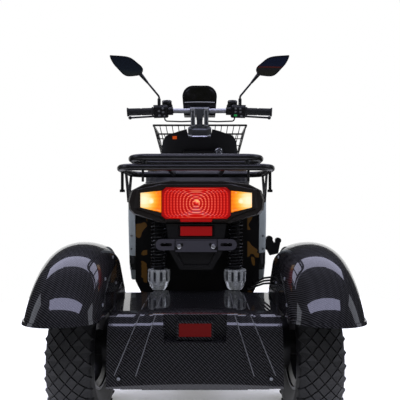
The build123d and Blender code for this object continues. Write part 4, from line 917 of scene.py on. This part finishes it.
def key_caps(name, rows, material):
    """Raised switch caps with sloped sides on the rear faces of the two pods."""
    made = bmesh.new()
    octagon = ((-1, -0.6), (-0.6, -1), (0.6, -1), (1, -0.6), (1, 0.6), (0.6, 1), (-0.6, 1), (-1, 0.6))
    for side, along, up, width, height in rows:
        loops = []
        for forward, share in ((-20.6, 1.0), (-22.4, 1.0), (-23.4, 0.78)):
            half_width, half_height = width / 2 * share, height / 2 * share
            loops.append([on_bar(side, along + dx * half_width, forward, up + dz * half_height)
                          for dx, dz in octagon])
        bridge(made, loops, False)
    piece(name, made, material, "steering")


key_caps("switch_caps", (
    # side, along, up, width, height
    (1, 51, 16, 10, 8), (1, 72, 16, 10, 8), (1, 51, 1, 9, 8), (1, 73, 1, 10, 9), (1, 78, -17, 11, 8),
    (-1, 54, 17, 10, 8), (-1, 72, 5, 10, 9), (-1, 52, 0, 10, 8), (-1, 70, -15, 12, 8), (-1, 47, -17, 8, 6),
), grey_abs)
key_caps("start_cap", ((1, 51, -15, 15, 9),), green_abs)


def lid_screws():
    """The screws in the lids of the two brake fluid cups."""
    made = bmesh.new()
    for side in (1, -1):
        facing = column.to_3x3() @ Vector((0, 0, 1))
        for along, forward in ((22, 42), (38, 58)):
            screw(made, on_bar(side, along, forward, 39.0), facing, 2.6, 1.5)
    piece("cup_lid_screws", made, bright_steel, "steering")


lid_screws()


def dome(half, low, high, power):
    """The upper half of a rounded outline."""
    points = [(-half, low), (half, low)]
    steps = 24
    for number in range(1, steps):
        angle = math.pi * number / steps
        reach = oblong_reach(angle, half, high - low, power)
        points.append((reach * math.cos(angle), low + reach * math.sin(angle)))
    return points


def screen():
    """The smoked instrument screen, and a thin pale strip under it that is a painted highlight."""
    made = bmesh.new()
    plates(made, dome(73, 1103, 1167, 2.9), (0, 1130), ((801.8, 1.0), (800.6, 1.0), (800.0, 0.97)))
    piece("instrument_screen", made, screen_glass, "steering", 20)
    # A thin pale strip along the screen's foot: a painted highlight.
    made = bmesh.new()
    steps = 24
    lower, upper = [], []
    for number in range(steps + 1):
        x = -71 + 142 * number / steps
        bow = 1.8 * (1 - (x / 71) ** 2)
        lower.append((x, 1094.6 + bow))
        upper.append((x, 1097.0 + bow))
    plates(made, lower + upper[::-1], (0, 1096), ((802.2, 1.0), (800.9, 1.0)))
    piece("screen_painted_highlight", made, painted_highlight_strip, "steering", 20)


screen()


def key_lock():
    """The ignition lock's bright ring and barrel, with the key's slot across it."""
    place = Matrix.Translation(Vector((mm(88), mm(-117.3), mm(769))))
    face = column @ place @ Matrix.Rotation(math.pi / 2, 4, "X")
    rings = ((16.5, 0.0), (16.5, 1.5), (15.0, 3.0), (11.5, 3.0), (10.5, 1.2), (9.8, 1.2), (9.0, 3.6),
             (4.0, 3.9))
    made = bmesh.new()
    loops = []
    for radius, rise in rings:
        loops.append([face @ Vector((x, y, mm(rise))) for x, y in circle(mm(radius), 40)])
    bridge(made, loops, False)
    piece("key_lock_ring", made, chrome, "chassis", 25)
    made = bmesh.new()
    loops = []
    for rise, share in ((3.2, 1.0), (4.2, 1.0), (4.5, 0.8)):
        loops.append([face @ Vector((mm(x * share), mm(y * share), mm(rise)))
                      for x, y in ((-1.1, -6), (1.1, -6), (1.4, 0), (1.1, 6), (-1.1, 6), (-1.4, 0))])
    bridge(made, loops, False)
    piece("key_slot", made, black_abs, "chassis")


key_lock()


# Seat

def swell(obj, base_z):
    """Swells a closed cover over its foam by a short cloth simulation, with its base held still."""
    start = [vertex.co.copy() for vertex in obj.data.vertices]
    held = obj.vertex_groups.new(name="base")
    held.add([i for i, co in enumerate(start) if co.z < base_z + mm(9)], 1.0, "REPLACE")
    cloth = obj.modifiers.new("foam", "CLOTH")
    cloth.settings.use_pressure = True
    cloth.settings.uniform_pressure_force = 4.0
    cloth.settings.effector_weights.gravity = 0.0
    cloth.settings.vertex_group_mass = "base"
    cloth.settings.tension_stiffness = 12
    cloth.settings.compression_stiffness = 12
    for number in range(1, 21):
        bpy.context.scene.frame_set(number)
    graph = bpy.context.evaluated_depsgraph_get()
    swollen = obj.evaluated_get(graph).to_mesh()
    moved = [vertex.co.copy() for vertex in swollen.vertices]
    obj.modifiers.clear()
    bpy.context.scene.frame_set(1)
    furthest = mm(16)
    for vertex, before, after in zip(obj.data.vertices, start, moved):
        shift = after - before
        if shift.length > furthest:
            shift *= furthest / shift.length
        vertex.co = before + shift


def padded_seat():
    """The vinyl seat, swollen over its foam, with a flat base; gives the piece and the solid's corners."""
    low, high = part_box("seat_cushion")
    obj = bpy.data.objects.new("seat_padding", nodes["seat_cushion"].data.copy())
    bpy.context.scene.collection.objects.link(obj)
    mesh = obj.data
    middle = Vector(((low.x + high.x) / 2, (low.y + high.y) / 2, low.z))
    for vertex in mesh.vertices:
        away = vertex.co - middle
        vertex.co = middle + Vector((away.x * 0.955, away.y * 0.965, away.z * 0.88 + mm(1)))
    made = bmesh.new()
    made.from_mesh(mesh)
    bmesh.ops.remove_doubles(made, verts=made.verts, dist=1e-5)
    made.to_mesh(mesh)
    made.free()
    mesh.remesh_voxel_size = mm(6)
    bpy.context.view_layer.objects.active = obj
    obj.select_set(True)
    bpy.ops.object.voxel_remesh()
    swell(obj, low.z)
    for vertex in obj.data.vertices:
        vertex.co.z = max(vertex.co.z, low.z)
    smooth = obj.modifiers.new("finer", "SUBSURF")
    smooth.levels = 1
    smooth.render_levels = 1
    graph = bpy.context.evaluated_depsgraph_get()
    finer = bpy.data.meshes.new_from_object(obj.evaluated_get(graph))
    obj.modifiers.clear()
    obj.data = finer
    obj.data.materials.clear()
    obj.data.materials.append(vinyl)
    for face in obj.data.polygons:
        face.use_smooth = True
    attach(obj, "seat")
    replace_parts(obj, "seat_cushion")
    return obj, low, high


def seat_seams(cushion, low, high):
    """The piping round the seat's side and the two sewn seams across its top, laid on its surface."""
    middle = Vector((0, (low.y + high.y) / 2, low.z + mm(34)))
    around = []
    for x, y in circle(1.0, 96):
        way = Vector((-x, -y, 0))
        around += landed(cushion, middle - way * 0.6, way, 0.6)
    swept("seat_piping", around, 2.4, vinyl, "seat", loop=True)
    for number, share in enumerate((0.36, 0.53)):
        y = low.y + (high.y - low.y) * share
        across = []
        for step in range(41):
            x = low.x + mm(14) + (high.x - low.x - mm(28)) * step / 40
            across += landed(cushion, Vector((x, y, high.z + 0.1)), Vector((0, 0, -1)), 0.2)
        swept(f"seat_seam_{number}", across, 1.5, vinyl, "seat")


seat_seams(*padded_seat())


# Studio

def studio_floor():
    """The round pale floor."""
    mesh = bpy.data.meshes.new("studio_floor")
    mesh.from_pydata([(x, y, 0) for x, y in circle(1.6, 120)], [], [tuple(range(120))])
    mesh.materials.append(pale_paint())
    floor = bpy.data.objects.new("studio_floor", mesh)
    bpy.context.scene.collection.objects.link(floor)


def bright_room():
    """White surroundings for the eye and for soft light, dim in reflections so that black stays black."""
    world = bpy.data.worlds.new("bright_room")
    world.use_nodes = True
    tree = world.node_tree
    path = add(tree, "ShaderNodeLightPath")
    seen_white = add(tree, "ShaderNodeMath", {
        0: path.outputs["Is Camera Ray"], 1: path.outputs["Is Diffuse Ray"]}, operation="MAXIMUM")
    strength = add(tree, "ShaderNodeMapRange", {
        "Value": seen_white.outputs[0], "To Min": 0.035, "To Max": 1.0})
    tree.links.new(strength.outputs[0], tree.nodes["Background"].inputs["Strength"])
    tree.nodes["Background"].inputs["Color"].default_value = linear("#ffffff")
    bpy.context.scene.world = world


def soft_lights():
    """The studio's soft boxes and cards."""
    lights = (
        # name, place, aim, width, height, power, colour
        ("rear_softbox", (0.0, -2.7, 3.4), (0, -2.69, 0.0), 4.0, 0.9, 70, "#dadaff"),
        ("top_softbox", (0.0, 0.55, 3.4), (0, 0.56, 0.0), 6.4, 1.1, 98, "#e0e0ff"),
        ("front_card", (0.0, 6.0, 1.7), (0, 0, 1.69), 14.0, 3.4, 190, "#ffffff"),
        ("left_panel", (-3.4, -1.4, 1.9), (0, -0.4, 0.5), 1.1, 1.8, 12, "#eef2ff"),
        ("right_panel", (3.4, -1.4, 1.9), (0, -0.4, 0.5), 1.1, 1.8, 12, "#eef2ff"),
    )
    for name, place, aim, width, height, power, colour in lights:
        lamp = bpy.data.lights.new(name, "AREA")
        lamp.shape = "RECTANGLE"
        lamp.size = width
        lamp.size_y = height
        lamp.energy = power
        lamp.color = linear(colour)[:3]
        made = bpy.data.objects.new(name, lamp)
        made.location = place
        made.rotation_euler = (Vector(aim) - Vector(place)).to_track_quat("-Z", "Y").to_euler()
        bpy.context.scene.collection.objects.link(made)


def photo_camera():
    """The camera at the photograph's place, level and behind the scooter."""
    camera = bpy.data.cameras.new("photo_camera")
    camera.lens = 38.97
    camera.sensor_width = 36.0
    camera.shift_x = -0.0108
    camera.shift_y = 0.025
    camera.clip_start = 0.05
    seen = bpy.data.objects.new("photo_camera", camera)
    seen.location = at(22, -1233, 590)
    seen.rotation_euler = (math.pi / 2, 0, 0)
    bpy.context.scene.collection.objects.link(seen)
    bpy.context.scene.camera = seen
    bpy.context.scene.view_settings.view_transform = "Standard"


studio_floor()
bright_room()
soft_lights()
photo_camera()
